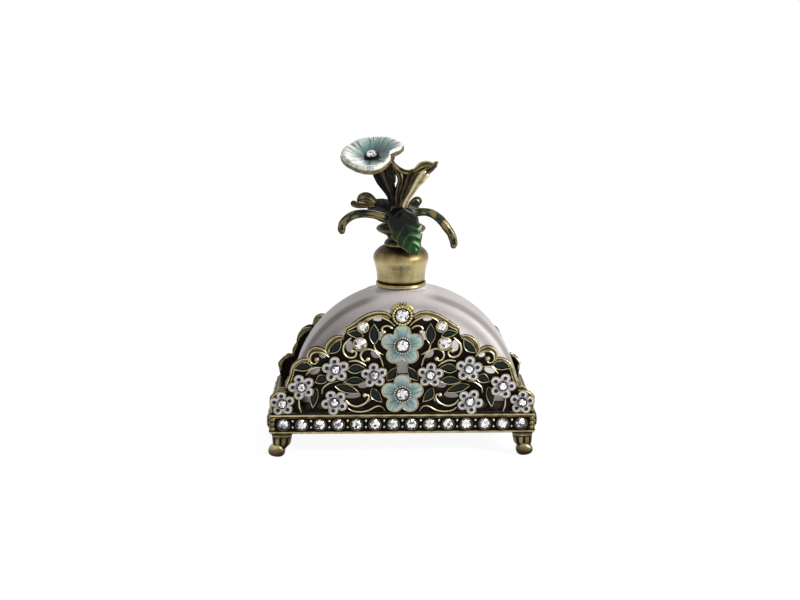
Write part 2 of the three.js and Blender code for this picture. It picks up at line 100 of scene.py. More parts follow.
def sealed(points, triangles, marks):
    """Joins equal points, and turns faces so that the volume, the sum of a . (b x c) / 6, is positive."""
    _, first, same = np.unique(np.round(points, 4), axis=0, return_index=True, return_inverse=True)
    triangles = same.reshape(-1)[triangles]
    a, b, c = triangles.T
    triangles = triangles[(a != b) & (b != c) & (c != a)]
    points, marks = points[first], marks[first]
    a, b, c = (points[corner] for corner in triangles.T)
    if np.sum(a * np.cross(b, c)) < 0:
        triangles = triangles[:, ::-1]
    return points, triangles, marks


def marks_for(points, side=0.0, share=0.0, wear_and_shading=0.5):
    """A mark for each point of a net, from numbers or from rows that spread over it."""
    marks = np.empty(points.shape)
    marks[..., 0], marks[..., 1], marks[..., 2] = side, share, wear_and_shading
    return marks


def surface(points, marks=(0, 0, 0.5), around=True, along=False):
    """Points[u, v] with two triangles to a cell; around joins v's last to its first, and along joins u's."""
    rows, columns = points.shape[:2]
    index = np.arange(rows * columns).reshape(rows, columns)
    if around:
        index = np.hstack([index, index[:, :1]])
    if along:
        index = np.vstack([index, index[:1]])
    a, b, c, d = (corner.ravel() for corner in (index[:-1, :-1], index[1:, :-1], index[1:, 1:],
                                                index[:-1, 1:]))
    triangles = np.vstack([np.stack([a, b, c], 1), np.stack([a, c, d], 1)])
    marks = np.broadcast_to(np.asarray(marks, float), points.shape).reshape(-1, 3)
    return sealed(points.reshape(-1, 3), triangles, marks)


def unit(vectors):
    """Vectors divided by their lengths."""
    vectors = np.asarray(vectors, float)
    return vectors / np.maximum(np.linalg.norm(vectors, axis=-1, keepdims=True), 1e-9)


def placed(shape, origin, facing=(0, 0, 1), up=(0, 1, 0), spin=0.0):
    """A shape drawn about z, spun by degrees, then moved to origin with z along facing and y near up."""
    points, triangles, marks = shape
    z = unit(facing)
    x = unit(np.cross(up, z))
    turn = math.radians(spin)
    swing = np.array([[math.cos(turn), math.sin(turn), 0], [-math.sin(turn), math.cos(turn), 0], [0, 0, 1]])
    return points @ swing @ np.array([x, np.cross(z, x), z]) + np.asarray(origin, float), triangles, marks


def mirrored(shape, x=1, y=1):
    """A shape with its x and y multiplied by 1 or -1, and its faces turned out again."""
    points, triangles, marks = shape
    return sealed(points * (x, y, 1), triangles, marks)


def smooth(points, steps):
    """A Catmull-Rom curve: a cubic between each two points, with the slope of their neighbours' chord."""
    p = np.asarray(points, float)
    p = np.vstack([2 * p[0] - p[1], p, 2 * p[-1] - p[-2]])
    t = np.linspace(0, len(points) - 1, steps)
    i = np.minimum(t.astype(int), len(points) - 2)
    f = (t - i)[:, None]
    a, b, c, d = p[i], p[i + 1], p[i + 2], p[i + 3]
    return 0.5 * (2 * b + (c - a) * f + (2 * a - 5 * b + 4 * c - d) * f**2 + (3 * b - a - 3 * c + d) * f**3)


def full_turn(count):
    """Evenly spaced angles round a circle, from 0."""
    return 2 * np.pi * np.arange(count) / count


def turned(profile, sides=24, ring=False, lobes=0, depth=0.0):
    """A profile of (radius, height, wear and shading) turned about z, the radius times 1 + depth cos(lobes
    angle).
    """
    profile = np.asarray(profile, float)
    angle = full_turn(sides)
    radius = profile[:, :1] * (1 + depth * np.cos(lobes * angle))
    height = np.broadcast_to(profile[:, 1:2], radius.shape)
    points = np.stack([radius * np.cos(angle), radius * np.sin(angle), height], -1)
    share = profile[:, :1] / profile[:, 0].max()
    # The wear and shading rises on each lobe and falls between lobes: rubbed wear, with painted shade in the
    # hollows.
    wear_and_shading = profile[:, 2:3] + (0.3 * np.cos(lobes * angle) if lobes else 0)
    return surface(points, marks_for(points, 0, share, wear_and_shading), along=ring)


def raised(profile, height):
    """A profile of (radius, height, wear and shading) whose heights count from a height."""
    return [(radius, height + rise, wear_and_shading) for radius, rise, wear_and_shading in profile]


def tube(points, radii, steps=24, sides=10, up=(0, 0, 1), tall=1.0, ridges=0, depth=0.0, wear_and_shading=(0.25, 0.95)):
    """A circle carried along a smooth line, its radius read from radii, times 1 + depth cos(ridges a).

    Towards up it is tall times as high. Past each end it shrinks by cos(b) while it goes on by sin(b) of
    its radius. Its wear and shading goes from the first value underneath to the second on top: rubbed wear,
    with painted shade underneath and a painted highlight on top.
    """
    path = smooth(points, steps)
    step = unit(np.gradient(path, axis=0))
    gone = np.concatenate([[0], np.cumsum(np.linalg.norm(np.diff(path, axis=0), axis=1))])
    radius = np.interp(gone / gone[-1], np.linspace(0, 1, len(radii)), radii)
    cap = np.radians([90, 60, 30])
    before = path[0] - np.sin(cap)[:, None] * radius[0] * step[0]
    after = path[-1] + np.sin(cap[::-1])[:, None] * radius[-1] * step[-1]
    path = np.vstack([before, path, after])
    radius = np.concatenate([radius[0] * np.cos(cap), radius, radius[-1] * np.cos(cap[::-1])])
    step = np.vstack([np.repeat(step[:1], 3, 0), step, np.repeat(step[-1:], 3, 0)])
    side = unit(np.cross(step, up))
    lift = np.cross(side, step)
    angle = full_turn(sides)
    reach = (radius[:, None] * (1 + depth * np.cos(ridges * angle)))[..., None]
    points = path[:, None] + reach * (
        np.cos(angle)[:, None] * side[:, None] + tall * np.sin(angle)[:, None] * lift[:, None])
    high = 0.5 + 0.5 * np.sin(angle)
    if ridges:
        high = 0.5 * high + 0.5 * (0.5 + 0.5 * np.cos(ridges * angle))
    along = np.linspace(0, 1, len(path))[:, None]
    return surface(points, marks_for(points, 0, along, wear_and_shading[0] + (wear_and_shading[1] - wear_and_shading[0]) * high))


def beside(points, distance, steps=24, up=(0, 0, 1)):
    """The smooth line through points, moved sideways by a distance that may change along it."""
    path = smooth(points, steps)
    side = unit(np.cross(unit(np.gradient(path, axis=0)), up))
    distance = np.interp(np.linspace(0, 1, steps), np.linspace(0, 1, len(distance)), distance)
    return path + side * distance[:, None]


def rows_of(outline, middle, rows, side=0.0):
    """Copies of a closed outline: each row moves it in along its normal, draws it a share of the way to the
    middle, and gives its height and its wear and shading. Inwards, no point goes past four fifths of its own
    way to the middle."""
    outline = np.asarray(outline, float)
    ahead = np.roll(outline, -1, 0) - np.roll(outline, 1, 0)
    normal = unit(np.stack([ahead[:, 1], -ahead[:, 0]], 1))
    middle = np.broadcast_to(np.asarray(middle, float), outline.shape)
    room = 0.8 * np.linalg.norm(outline - middle, axis=1)
    rows = np.asarray(rows, float)
    inwards = np.minimum(rows[:, :1], room)[..., None]
    flat = outline - normal * inwards
    flat = flat + (middle - flat) * rows[:, 1][:, None, None]
    height = np.broadcast_to(rows[:, 2][:, None], flat.shape[:2])
    points = np.concatenate([flat, height[..., None]], -1)
    return points, marks_for(points, side, 1 - rows[:, 1:2], rows[:, 3:4])


def cell(outline, middle, rows, ring=False):
    """The closed surface through rows_of's copies."""
    points, marks = rows_of(outline, middle, rows)
    return surface(points, marks, along=ring)


def bar(start, end, profile):
    """A profile of (y, z, wear and shading) carried straight along x, with each end drawn to the profile's
    middle.
    """
    profile = np.asarray(profile, float)
    middle = profile.mean(axis=0)
    places = [(start, 1), *((x, 0) for x in np.linspace(start, end, 12)), (end, 1)]
    rows = [(profile + (middle - profile) * share)[:, :2] for _, share in places]
    points = np.stack([np.column_stack([np.full(len(row), x), row]) for (x, _), row in zip(places, rows)])
    return surface(points, marks_for(points, wear_and_shading=profile[:, 2]))


def bead(radius, wear_and_shading=0.8, squash=1.0, sides=8):
    """A small ball, squashed towards z."""
    rise = np.radians(np.linspace(-90, 90, 6))
    return turned([(radius * math.cos(a), squash * radius * math.sin(a), wear_and_shading) for a in rise], sides)


def bead_ring(radius, wear_and_shading, reach, height, count, start=0):
    """Beads at a reach from z, the first of them start degrees round."""
    return [placed(bead(radius, wear_and_shading), (reach * math.cos(a), reach * math.sin(a), height))
            for a in full_turn(count) + math.radians(start)]


def leaf(root, tip, width, bend=0.0, steps=15):
    """A pointed leaf's outline and rib. Half its width is w/2 sin(pi t^0.85), and its rib bows by
    4 bend t (1 - t)."""
    t = np.linspace(0, 1, steps)[:, None]
    root, tip = np.asarray(root, float), np.asarray(tip, float)
    across = unit([root[1] - tip[1], tip[0] - root[0]])
    rib = root + (tip - root) * t + across * bend * 4 * t * (1 - t)
    half = width / 2 * np.sin(np.pi * t**0.85) * across
    return np.vstack([rib - half, (rib + half)[-2:0:-1]]), np.vstack([rib, rib[-2:0:-1]])


def petal_edge(distance, radius, count=5, squash=1.0, steps=60):
    """The edge of a ring of round petals, D cos(a) + sqrt(R^2 - D^2 sin^2(a)) from the middle, with a
    measured from the nearest petal's axis, and that angle's share of the way to the next petal."""
    angle = full_turn(steps)
    off = (angle + np.pi / count) % (2 * np.pi / count) - np.pi / count
    reach = distance * np.cos(off) + np.sqrt(radius**2 - (distance * np.sin(off)) ** 2)
    edge = np.stack([-reach * np.sin(angle), squash * reach * np.cos(angle)], 1)
    return edge, np.abs(off) * count / np.pi


def stone(radius, height):
    """A round stone of flat facets: sixteen round the crown, eight round the table and a star in it.

    Each ring has a radius and how far it swings from point to point, then a height and its swing.
    """
    angle = full_turn(16)
    every = np.where(np.arange(16) % 2, 1.0, -1.0)
    rings = np.array([(0, 0, 0, 0), (1, 0, 0, 0), (1, 0, 0.3, 0), (0.8, 0.03, 0.72, 0.1), (0.6, 0.04, 1, 0),
                      (0.32, 0.09, 0.8, 0.1), (0, 0, 0.62, 0)])
    reach = radius * (rings[:, :1] + rings[:, 1:2] * every)
    rise = height * (rings[:, 2:3] + rings[:, 3:] * every)
    return surface(np.stack([reach * np.cos(angle), reach * np.sin(angle), rise], -1))


def cup(radius, height, opening):
    """A stone's setting: a wall with a bright lip, open inside down to its floor."""
    floor = height * 0.4
    return turned([(0, -0.3, 0.2), (radius, -0.3, 0.1), (radius, height * 0.7, 0.2),
                   (radius - 0.1, height, 0.75), (opening + 0.08, height, 0.75),
                   (opening, height - 0.15, 0.2), (opening - 0.05, floor, 0), (0, floor, 0)])


def sheet_with_holes(outline, holes, front, back, pitch=0.35, rounding=0.5):
    """A plate from a square net. A point's distance d to the outline, or less to a hole, says where it is;
    points just outside move back onto the edge along d's slope, and the front falls to the back as a
    quarter round."""
    outline = np.asarray(outline, float)
    low, high = outline.min(0) - 2 * pitch, outline.max(0) + 2 * pitch
    x, y = np.arange(low[0], high[0], pitch), np.arange(low[1], high[1], pitch)
    net = np.stack(np.meshgrid(x, y, indexing="ij"), -1)
    start, run = outline, np.roll(outline, -1, 0) - outline
    offset = net[..., None, :] - start
    share = np.clip((offset * run).sum(-1) / (run**2).sum(-1), 0, 1)
    distance = np.linalg.norm(offset - share[..., None] * run, axis=-1).min(-1)
    above = (start[:, 1] > net[..., 1, None]) != (np.roll(start, -1, 0)[:, 1] > net[..., 1, None])
    rise = np.where(run[:, 1] == 0, 1e-9, run[:, 1])
    cross = start[:, 0] + offset[..., 1] / rise * run[:, 0]
    inside = (above & (net[..., 0, None] < cross)).sum(-1) % 2 == 1
    distance = np.where(inside, -distance, distance)
    for (cx, cy), (wide, tall), tilt in holes:
        turn = math.radians(tilt)
        dx, dy = net[..., 0] - cx, net[..., 1] - cy
        u = (dx * math.cos(turn) + dy * math.sin(turn)) / wide
        v = (dy * math.cos(turn) - dx * math.sin(turn)) / tall
        distance = np.maximum(distance, (1 - np.hypot(u, v)) * min(wide, tall))
    slope = unit(np.stack(np.gradient(distance, pitch), -1))
    outside = distance >= 0
    moved = net - slope * np.where(outside, distance, 0)[..., None]
    edge = np.clip(-distance / rounding, 0, 1)
    top = back + (front - back) * np.sqrt(1 - (1 - edge) ** 2)
    index = np.arange(outside.size).reshape(outside.shape)
    under = np.where(outside, index, index + outside.size)
    near, far = slice(0, -1), slice(1, None)
    corners = [(near, near), (far, near), (far, far), (near, far)]
    kept = ~np.logical_and.reduce([outside[c] for c in corners])
    a, b, c, d = (index[k][kept] for k in corners)
    e, f, g, h = (under[k][kept] for k in corners)
    triangles = np.vstack([np.stack(s, 1) for s in ((a, b, c), (a, c, d), (g, f, e), (h, g, e))])
    flat = moved.reshape(-1, 2)
    points = np.vstack([np.column_stack([flat, top.ravel()]),
                        np.column_stack([flat, np.full(len(flat), back)])])
    wear_and_shading = np.concatenate([0.22 + 0.25 * (1 - edge.ravel()), np.zeros(len(flat))])
    used = np.unique(triangles)
    return sealed(points[used], np.searchsorted(used, triangles), marks_for(points, wear_and_shading=wear_and_shading)[used])


def paint(red, green, blue):
    """A screen colour in 255ths as the linear colour a shader takes."""
    share = np.array([red, green, blue]) / 255
    linear = np.where(share <= 0.04045, share / 12.92, ((share + 0.055) / 1.055) ** 2.4)
    return (*linear.tolist(), 1.0)


class Value:
    """A node's output in a Python sum: each sign adds a Math node."""

    def __init__(self, nodes, socket):
        self.nodes, self.socket = nodes, socket

    def __add__(self, other):
        return self.nodes.maths("ADD", self, other)

    def __sub__(self, other):
        return self.nodes.maths("SUBTRACT", self, other)

    def __rsub__(self, other):
        return self.nodes.maths("SUBTRACT", other, self)

    def __mul__(self, other):
        return self.nodes.maths("MULTIPLY", self, other)

    __radd__, __rmul__ = __add__, __mul__


class Nodes:
    """The node tree of a material or the world."""

    def __init__(self, tree):
        self.tree = tree

    def feed(self, socket, value):
        if isinstance(value, Value):
            self.tree.links.new(value.socket, socket)
        else:
            socket.default_value = value

    def node(self, kind, settings=None, sockets=None, output=0):
        """One node of a kind: its settings, a ramp's stops among them, and its sockets' values or links."""
        made = self.tree.nodes.new("ShaderNode" + kind)
        for name, value in (settings or {}).items():
            if name == "stops":
                elements = made.color_ramp.elements
                while len(elements) < len(value):
                    elements.new(1.0)
                for element, (place, colour) in zip(elements, value):
                    element.position, element.color = place, colour
            else:
                setattr(made, name, value)
        for name, value in (sockets or {}).items():
            self.feed(made.inputs[name], value)
        return Value(self, made.outputs[output])

    def maths(self, operation, *numbers):
        return self.node("Math", {"operation": operation}, dict(enumerate(numbers)))

    def vectors(self, operation, one, other):
        return self.node("VectorMath", {"operation": operation}, {0: one, 1: other})

    def between(self, value, low, high):
        """0 at low, 1 at high and smooth between; low may be the larger of the two."""
        return self.node("MapRange", {"interpolation_type": "SMOOTHSTEP"},
                         {"Value": value, "From Min": low, "From Max": high})

    def blend(self, share, colour, other):
        """A colour with a share of another, given in 255ths, over it."""
        return self.node("Mix", {"data_type": "RGBA"}, {0: share, 6: colour, 7: paint(*other)}, 2)

    def ramp(self, value, stops):
        """Colours in 255ths at their places between 0 and 1."""
        stops = [(place, paint(*colour)) for place, colour in stops]
        return self.node("ValToRGB", {"stops": stops}, {"Fac": value})

    def place(self):
        return self.node("TexCoord", output=3)

    def noise(self, scale, detail=3.0, vector=None):
        return self.node("TexNoise", None, {"Scale": scale, "Detail": detail,
                                            "Vector": vector or self.place()})

    def strands(self, across, along, scale, detail):
        """Noise in strands, from a number across them and one along them, broken up by the place."""
        lines = self.node("CombineXYZ", None, {"X": across, "Y": along, "Z": 0.0})
        moved = self.vectors("ADD", lines, self.vectors("MULTIPLY", self.place(), (scale,) * 3))
        return self.noise(1.0, detail, moved)

    def parts(self, vector):
        """The three numbers of a vector."""
        x = self.node("SeparateXYZ", None, {"Vector": vector})
        return x, Value(self, x.socket.node.outputs[1]), Value(self, x.socket.node.outputs[2])

    def marks(self):
        return self.parts(self.node("Attribute", {"attribute_name": "marks"}, output=1))


class Finish(Nodes):
    """A material on the Principled shader: constants go on its sockets."""

    def __init__(self, name, **constants):
        self.material = bpy.data.materials.new(name)
        self.material.use_nodes = True
        super().__init__(self.material.node_tree)
        self.shader = self.tree.nodes["Principled BSDF"]
        self.set(**constants)

    def set(self, **sockets):
        for name, value in sockets.items():
            self.feed(self.shader.inputs[name.replace("_", " ")], value)

    def relief(self, height, strength, depth):
        """Bumps of a height field, depth millimetres for a step of 1."""
        self.set(Normal=self.node("Bump", None, {"Height": height, "Strength": strength,
                                                 "Distance": depth * MM}))


def brass(name, recess, shade, body, ridge, marked=True, roughness=0.3, streak=1.0):
    """Cast brass: its colour climbs with the wear and shading mark, from dark in the recesses, patina with
    painted shade, to rubbed ridges and painted highlights on tops, broken by fine noise, which runs upright
    where streak is under 1."""
    finish = Finish(name, Metallic=0.88, IOR=1.5)
    wear_and_shading = finish.marks()[2] if marked else finish.noise(160, 4)
    cloud = finish.noise(420, 4, finish.vectors("MULTIPLY", finish.place(), (1, 1, streak)))
    level = wear_and_shading + (cloud - 0.5) * 0.55
    colour = finish.ramp(level, [(0.08, recess), (0.34, shade), (0.62, body), (0.92, ridge)])
    speck = finish.between(finish.noise(2600, 2), 0.58, 0.74)
    finish.set(Base_Color=finish.blend(speck * 0.45, colour, recess),
               Roughness=(roughness + 0.22) - level * 0.22)
    finish.relief(finish.noise(1500, 3) + finish.noise(500, 2) * 0.8, 0.35, 0.12)
    return finish.material


def petal_enamel(name, heart, field, rim, streak, spread=1.0):
    """Enamel that lightens from a petal's heart to its rim, with dark and pale streaks that run outwards."""
    finish = Finish(name, Metallic=0.0, Roughness=0.3, Specular_IOR_Level=0.4, Coat_Weight=0.4,
                    Coat_Roughness=0.06)
    side, share, _ = finish.marks()
    strands = finish.strands(side * 7.5, share * 0.9, 140, 3)
    level = share + (strands - 0.5) * 1.5
    colour = finish.ramp(level, [(0.12, heart), (0.58 * spread, field), (spread, rim)])
    dark = finish.between(strands, 0.52, 0.59) * finish.between(share, 1.35, 0.65)
    pale = finish.between(1 - strands, 0.56, 0.68) * share
    finish.set(Base_Color=finish.blend(pale * 0.8, finish.blend(dark * 0.9, colour, streak), rim))
    finish.relief(strands, 0.3, 0.2)
    return finish.material


def plain_enamel(name, dark, light, roughness=0.2):
    """Glossy enamel with a slow cloud of a second tone."""
    finish = Finish(name, Metallic=0.0, Specular_IOR_Level=0.12, Coat_Weight=0.06, Coat_Roughness=0.05)
    cloud = finish.noise(330, 3)
    colour = finish.ramp(cloud * 0.7 + finish.marks()[2] * 0.5, [(0.3, dark), (0.85, light)])
    finish.set(Base_Color=colour, Roughness=roughness + cloud * 0.12)
    finish.relief(cloud, 0.2, 0.1)
    return finish.material


def leaf_enamel(name, dark, green, vein, rim):
    """Leaf enamel: dark by the root, green further out, with slanting veins and a paler edge."""
    finish = Finish(name, Metallic=0.2, Specular_IOR_Level=0.15, Coat_Weight=0.1, Coat_Roughness=0.1)
    side, share, _ = finish.marks()
    cloud = finish.noise(380, 3)
    colour = finish.ramp(share + (cloud - 0.5) * 0.9, [(0.36, dark), (0.85, green)])
    wave = finish.maths("SINE", (share * 6.0 - side * 1.3 + cloud * 0.4) * 2 * math.pi)
    veins = finish.between(wave, 0.5, 1.0) * finish.between(share + cloud * 0.3, 0.4, 0.75)
    edge = finish.between(side + (cloud - 0.5) * 0.3, 0.82, 0.97) * share
    colour = finish.blend(edge * 0.7, finish.blend(veins * 0.4, colour, vein), rim)
    finish.set(Base_Color=colour, Roughness=0.34 - cloud * 0.14)
    finish.relief(wave + cloud, 0.4, 0.1)
    return finish.material


def mottled_enamel(name, dark, green, worn):
    """Thin leaf enamel that breaks up in streaks along the leaf to show the brass."""
    finish = Finish(name, Metallic=0.35, Specular_IOR_Level=0.2, Coat_Weight=0.12, Coat_Roughness=0.1)
    _, share, wear_and_shading = finish.marks()
    strands = finish.strands(share * 9, wear_and_shading * 14, 120, 4)
    cloud = finish.noise(420, 3)
    colour = finish.ramp(cloud, [(0.46, dark), (0.78, green)])
    colour = finish.blend(finish.between(strands, 0.47, 0.57) * 0.85, colour, worn)
    finish.set(Base_Color=colour, Roughness=0.36 - cloud * 0.14)
    finish.relief(strands + cloud, 0.5, 0.2)
    return finish.material


def crystal():
    """Foil-backed stones: each small cell is its own grey, from near black to white, a painted reflection for
    the facets' sparkle.
    """
    finish = Finish("foiled_crystal", Metallic=0.75, Coat_Weight=1.0, Coat_Roughness=0.02)
    cells = finish.node("TexVoronoi", {"feature": "F1"}, {"Scale": 1250, "Vector": finish.place()}, 1)
    painted_facet_glint = finish.parts(cells)[0]
    colour = finish.ramp(painted_facet_glint, [(0.0, (44, 42, 46)), (0.18, (124, 122, 126)), (0.36, (214, 214, 218)),
                                (1.0, (252, 252, 252))])
    finish.set(Base_Color=colour, Roughness=0.1 + painted_facet_glint * 0.08)
    return finish.material


def frosted_glass():
    """Pearly frosted glass, paler in the neck, with a faint cloud. Its rounded wall and rim are darker, as
    painted shade, and further in, where the openwork covers it, it is paler and weakly glowing: painted light
    that stands for the daylight coming through it behind the openwork. Places are in millimetres."""
    finish = Finish("frosted_glass", Metallic=0.0, Specular_IOR_Level=0.22, Coat_Weight=0.15,
                    Coat_Roughness=0.25, Emission_Strength=0.3)
    x, y, z = finish.parts(finish.vectors("MULTIPLY", finish.place(), (1 / MM,) * 3))
    cloud = finish.noise(55, 3)
    neck = finish.between(z, NECK_TOP - 9.1, NECK_TOP - 5.1) * finish.between(finish.maths("ABSOLUTE", x),
                                                                              12.5, 4.5)
    sideways, upwards = x - GLASS_PLACE, z - GLASS_CENTRE
    inwards = GLASS_RADIUS - finish.maths("SQRT", sideways * sideways + upwards * upwards)
    # The wall's and rim's darker tones are painted shade; further in, the paler tone is painted light.
    wall = finish.between(inwards, 1.85, 0.85) * (1 - neck)
    rim = wall * finish.between(finish.maths("ABSOLUTE", y), 5.2, 8.2)
    painted_light_within = finish.between(inwards, 3.75, 6.75)
    tone = finish.ramp(cloud, [(0.3, (176, 168, 166)), (0.7, (200, 193, 192))])
    for share, colour in ((wall * 0.3, (96, 91, 88)), (rim * 0.45, (66, 62, 60)),
                          (painted_light_within * 0.8, (232, 227, 226)), (neck * 0.45, (222, 217, 216))):
        tone = finish.blend(share, tone, colour)
    # A painted glow: further in, the glass glows as painted light for the daylight behind the openwork.
    glow = finish.blend(painted_light_within, paint(0, 0, 0), (205, 198, 194))
    finish.set(Base_Color=tone, Roughness=0.36 + cloud * 0.15, Emission_Color=glow)
    finish.relief(finish.noise(2600, 2), 0.08, 0.05)
    return finish.material


def cork():
    """Pressed cork: tan grains with dark pits."""
    finish = Finish("cork", Metallic=0.0, Roughness=0.9)
    grain = finish.noise(900, 5)
    finish.set(Base_Color=finish.ramp(grain, [(0.36, (92, 62, 36)), (0.52, (165, 125, 82)),
                                              (0.75, (190, 152, 108))]))
    finish.relief(grain, 0.6, 0.25)
    return finish.material


OLIVE = brass("olive_brass", (16, 12, 8), (56, 46, 28), (112, 100, 66), (190, 178, 136))
BRIGHT = brass("rubbed_brass", (30, 24, 16), (96, 84, 60), (152, 140, 106), (208, 198, 164))
GILT = brass("gilt_brass", (26, 20, 10), (84, 72, 42), (142, 128, 82), (208, 196, 142))
SILVERED = brass("silvered_brass", (44, 40, 34), (112, 106, 92), (164, 156, 138), (216, 210, 196))
DARK = brass("dark_brass", (12, 9, 7), (28, 22, 15), (64, 54, 38), (138, 124, 86), roughness=0.36)
# Near-black brass for the panel ground: painted shadow.
SHADOW_BRASS = brass("shadow_brass", (14, 11, 9), (24, 18, 14), (40, 32, 24), (70, 58, 42), roughness=0.4)
SATIN = brass("satin_brass", (34, 24, 15), (78, 62, 38), (138, 122, 80), (184, 170, 124), streak=0.12)
TRAY = brass("tray_brass", (18, 14, 10), (42, 35, 24), (66, 57, 39), (104, 92, 66), marked=False)
TEAL = petal_enamel("teal_enamel", (46, 84, 92), (112, 148, 150), (192, 198, 182), (64, 98, 104))
LILAC = petal_enamel("lilac_enamel", (168, 167, 182), (196, 196, 205), (226, 226, 224), (148, 147, 164))
CREAM = petal_enamel("cream_enamel", (12, 40, 44), (112, 160, 156), (240, 240, 234), (30, 66, 62),
                     spread=0.78)
PLUM = plain_enamel("plum_enamel", (24, 20, 28), (46, 40, 54))
INKY = plain_enamel("inky_green_enamel", (6, 11, 9), (20, 32, 27), roughness=0.34)
GREEN = leaf_enamel("leaf_green_enamel", (9, 14, 12), (20, 58, 20), (70, 116, 44), (138, 136, 88))
SHADE = leaf_enamel("shade_green_enamel", (46, 48, 48), (78, 80, 78), (66, 70, 66), (84, 82, 70))
MOTTLED = mottled_enamel("mottled_green_enamel", (13, 15, 10), (30, 54, 29), (122, 110, 70))
CRYSTAL = crystal()
GLASS = frosted_glass()
CORK = cork()

# The imported model's slot names, and the finishes listed for each
SLOTS = {"antique_brass": (OLIVE, BRIGHT, GILT, SILVERED, SATIN), "dark_brass": (DARK, SHADOW_BRASS),
         "teal_enamel": (TEAL,), "lilac_enamel": (LILAC, PLUM), "cream_enamel": (CREAM,),
         "green_enamel": (INKY, GREEN, SHADE, MOTTLED), "crystal": (CRYSTAL,), "pearl_glass": (GLASS,)}


def slot_of(finish):
    return next(slot for slot, finishes in SLOTS.items() if finish in finishes)


def piece(name, shapes, finish, *stands_for, body="bottle", slot=None):
    """One object from its shapes, in metres, with their marks, riding on a body. Crystal stays faceted."""
    starts = np.cumsum([0] + [len(points) for points, _, _ in shapes[:-1]])
    points = np.vstack([points for points, _, _ in shapes]) * MM
    triangles = np.vstack([triangles + start for start, (_, triangles, _) in zip(starts, shapes)])
    marks = np.vstack([marks for _, _, marks in shapes])
    mesh = bpy.data.meshes.new(name)
    mesh.from_pydata(points.tolist(), [], triangles.tolist())
    mesh.attributes.new("marks", "FLOAT_VECTOR", "POINT").data.foreach_set("vector", marks.ravel())
    rounded = finish != CRYSTAL
    mesh.polygons.foreach_set("use_smooth", np.full(len(triangles), rounded))
    if rounded:
        mesh.set_sharp_from_angle(angle=math.radians(50))
    mesh.materials.append(finish)
    made = bpy.data.objects.new(name, mesh)
    bpy.context.scene.collection.objects.link(made)
    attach(made, body)
    slot or slot_of(finish)
    if stands_for:
        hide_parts(*stands_for)


def stopper_piece(name, shapes, finish, *stands_for):
    piece(name, shapes, finish, *stands_for, body="stopper")


# Flowers, drawn face up round z: each is a list of its parts' names, shapes and finishes


def flower(distance, radius, squash, stone_radius, steps, height, bulge):
    """A flower's enamel, rim, petals' hearts, setting and stone. Its enamel swells by bulge (1 - (d / R)^2)
    over each petal, with d measured from the petal's heart."""
    edge, side = petal_edge(distance, radius, squash=squash, steps=steps)
    rim = cell(edge, (0, 0), [(0, 0, -0.3, 0), (-0.02, 0, height * 0.5, 0.15), (0.03, 0, height * 0.88, 0.5),
                              (0.16, 0, height, 0.85), (0.3, 0, height * 0.95, 0.7),
                              (0.4, 0, height * 0.6, 0.1), (0.4, 0, -0.3, 0)], ring=True)
    pulls = np.linspace(0, 1, 9)
    rows = [(0.36, 1, -0.2, 0), (0.36, 0, -0.2, 0), *((0.36, pull, height * 0.72, 1) for pull in pulls)]
    points, marks = rows_of(edge, (0, 0), rows, side)
    angles = np.radians(90) + full_turn(5)
    hearts = distance * np.stack([np.cos(angles), squash * np.sin(angles)], 1)
    away = np.linalg.norm(points[..., None, :2] - hearts, axis=-1).min(-1) / radius
    points[2:, :, 2] += bulge * np.clip(1 - away[2:] ** 2, 0, 1)
    setting = cup(stone_radius + 0.3, height + 0.55, stone_radius + 0.04)
    jewel = placed(stone(stone_radius, 0.85), (0, 0, height + 0.1))
    return surface(points, marks), rim, hearts, setting, jewel


def small_flower(scale):
    height = 1.15
    enamel, rim, hearts, setting, jewel = flower(2.55 * scale, 1.6 * scale, 0.97, 1.3, 80, height, 0.28)
    dots = [placed(bead(0.66, 0.5, 0.4, 12), (*(heart * 1.03), height * 0.72 + 0.24)) for heart in hearts]
    prongs = bead_ring(0.26, 0.9, 1.5, height + 0.5, 4, start=45)
    return [("enamel", [enamel], LILAC), ("rim", [rim], BRIGHT), ("dots", dots, PLUM),
            ("setting", [setting, *prongs], DARK), ("stone", [jewel], CRYSTAL)]


def large_flower():
    height = 1.25
    enamel, rim, _, setting, jewel = flower(4.05, 2.78, 0.96, 1.85, 100, height, 0.35)
    return [("enamel", [enamel], TEAL), ("rim", [rim], BRIGHT), ("setting", [setting], DARK),
            ("bead_ring", bead_ring(0.3, 0.75, 2.5, height + 0.3, 20), SILVERED), ("stone", [jewel], CRYSTAL)]


# Places on a panel: distance from the middle, and rise above the band
SMALL_FLOWERS = {"corner": (37.3, 3.6, 0.98, 5), "outer": (31.2, 8.9, 1.04, 17),
                 "shoulder": (20.6, 14.5, 1.05, 6), "inner": (8.7, 12.6, 1.02, 4),
                 "lower": (21.05, 3.9, 1.04, 27)}
LARGE_FLOWERS = {"upper": 22.2, "lower": 6.5}
TOP_JEWEL_RISE = 31.5
COLLETS = [(12.1, 27.9, 1.95), (13.05, 22.5, 2.3)]
# Each leaf's root and tip, its width and how far its rib bows
PANEL_LEAVES = [
    ((8.6, 22.3), (8.7, 29.1), 3.1, 0.0), ((11.9, 24.9), (17.1, 26.0), 2.4, 0.3),
    ((22.7, 19.6), (18.8, 24.1), 2.9, 0.4), ((27.7, 15.4), (33.8, 14.5), 3.1, 0.5),
    ((22.9, 11.7), (27.2, 10.2), 3.0, 0.3), ((26.7, 8.7), (27.9, 1.8), 2.6, 0.2),
    ((17.0, 14.1), (11.4, 14.7), 3.0, -0.2), ((11.7, 10.6), (18.4, 10.3), 2.7, 0.2),
    ((21.0, 9.1), (13.2, 6.6), 2.8, -0.3), ((9.5, 8.4), (6.2, 3.7), 2.9, 0.5),
    ((4.9, 10.7), (1.5, 15.3), 2.8, 0.2),
]
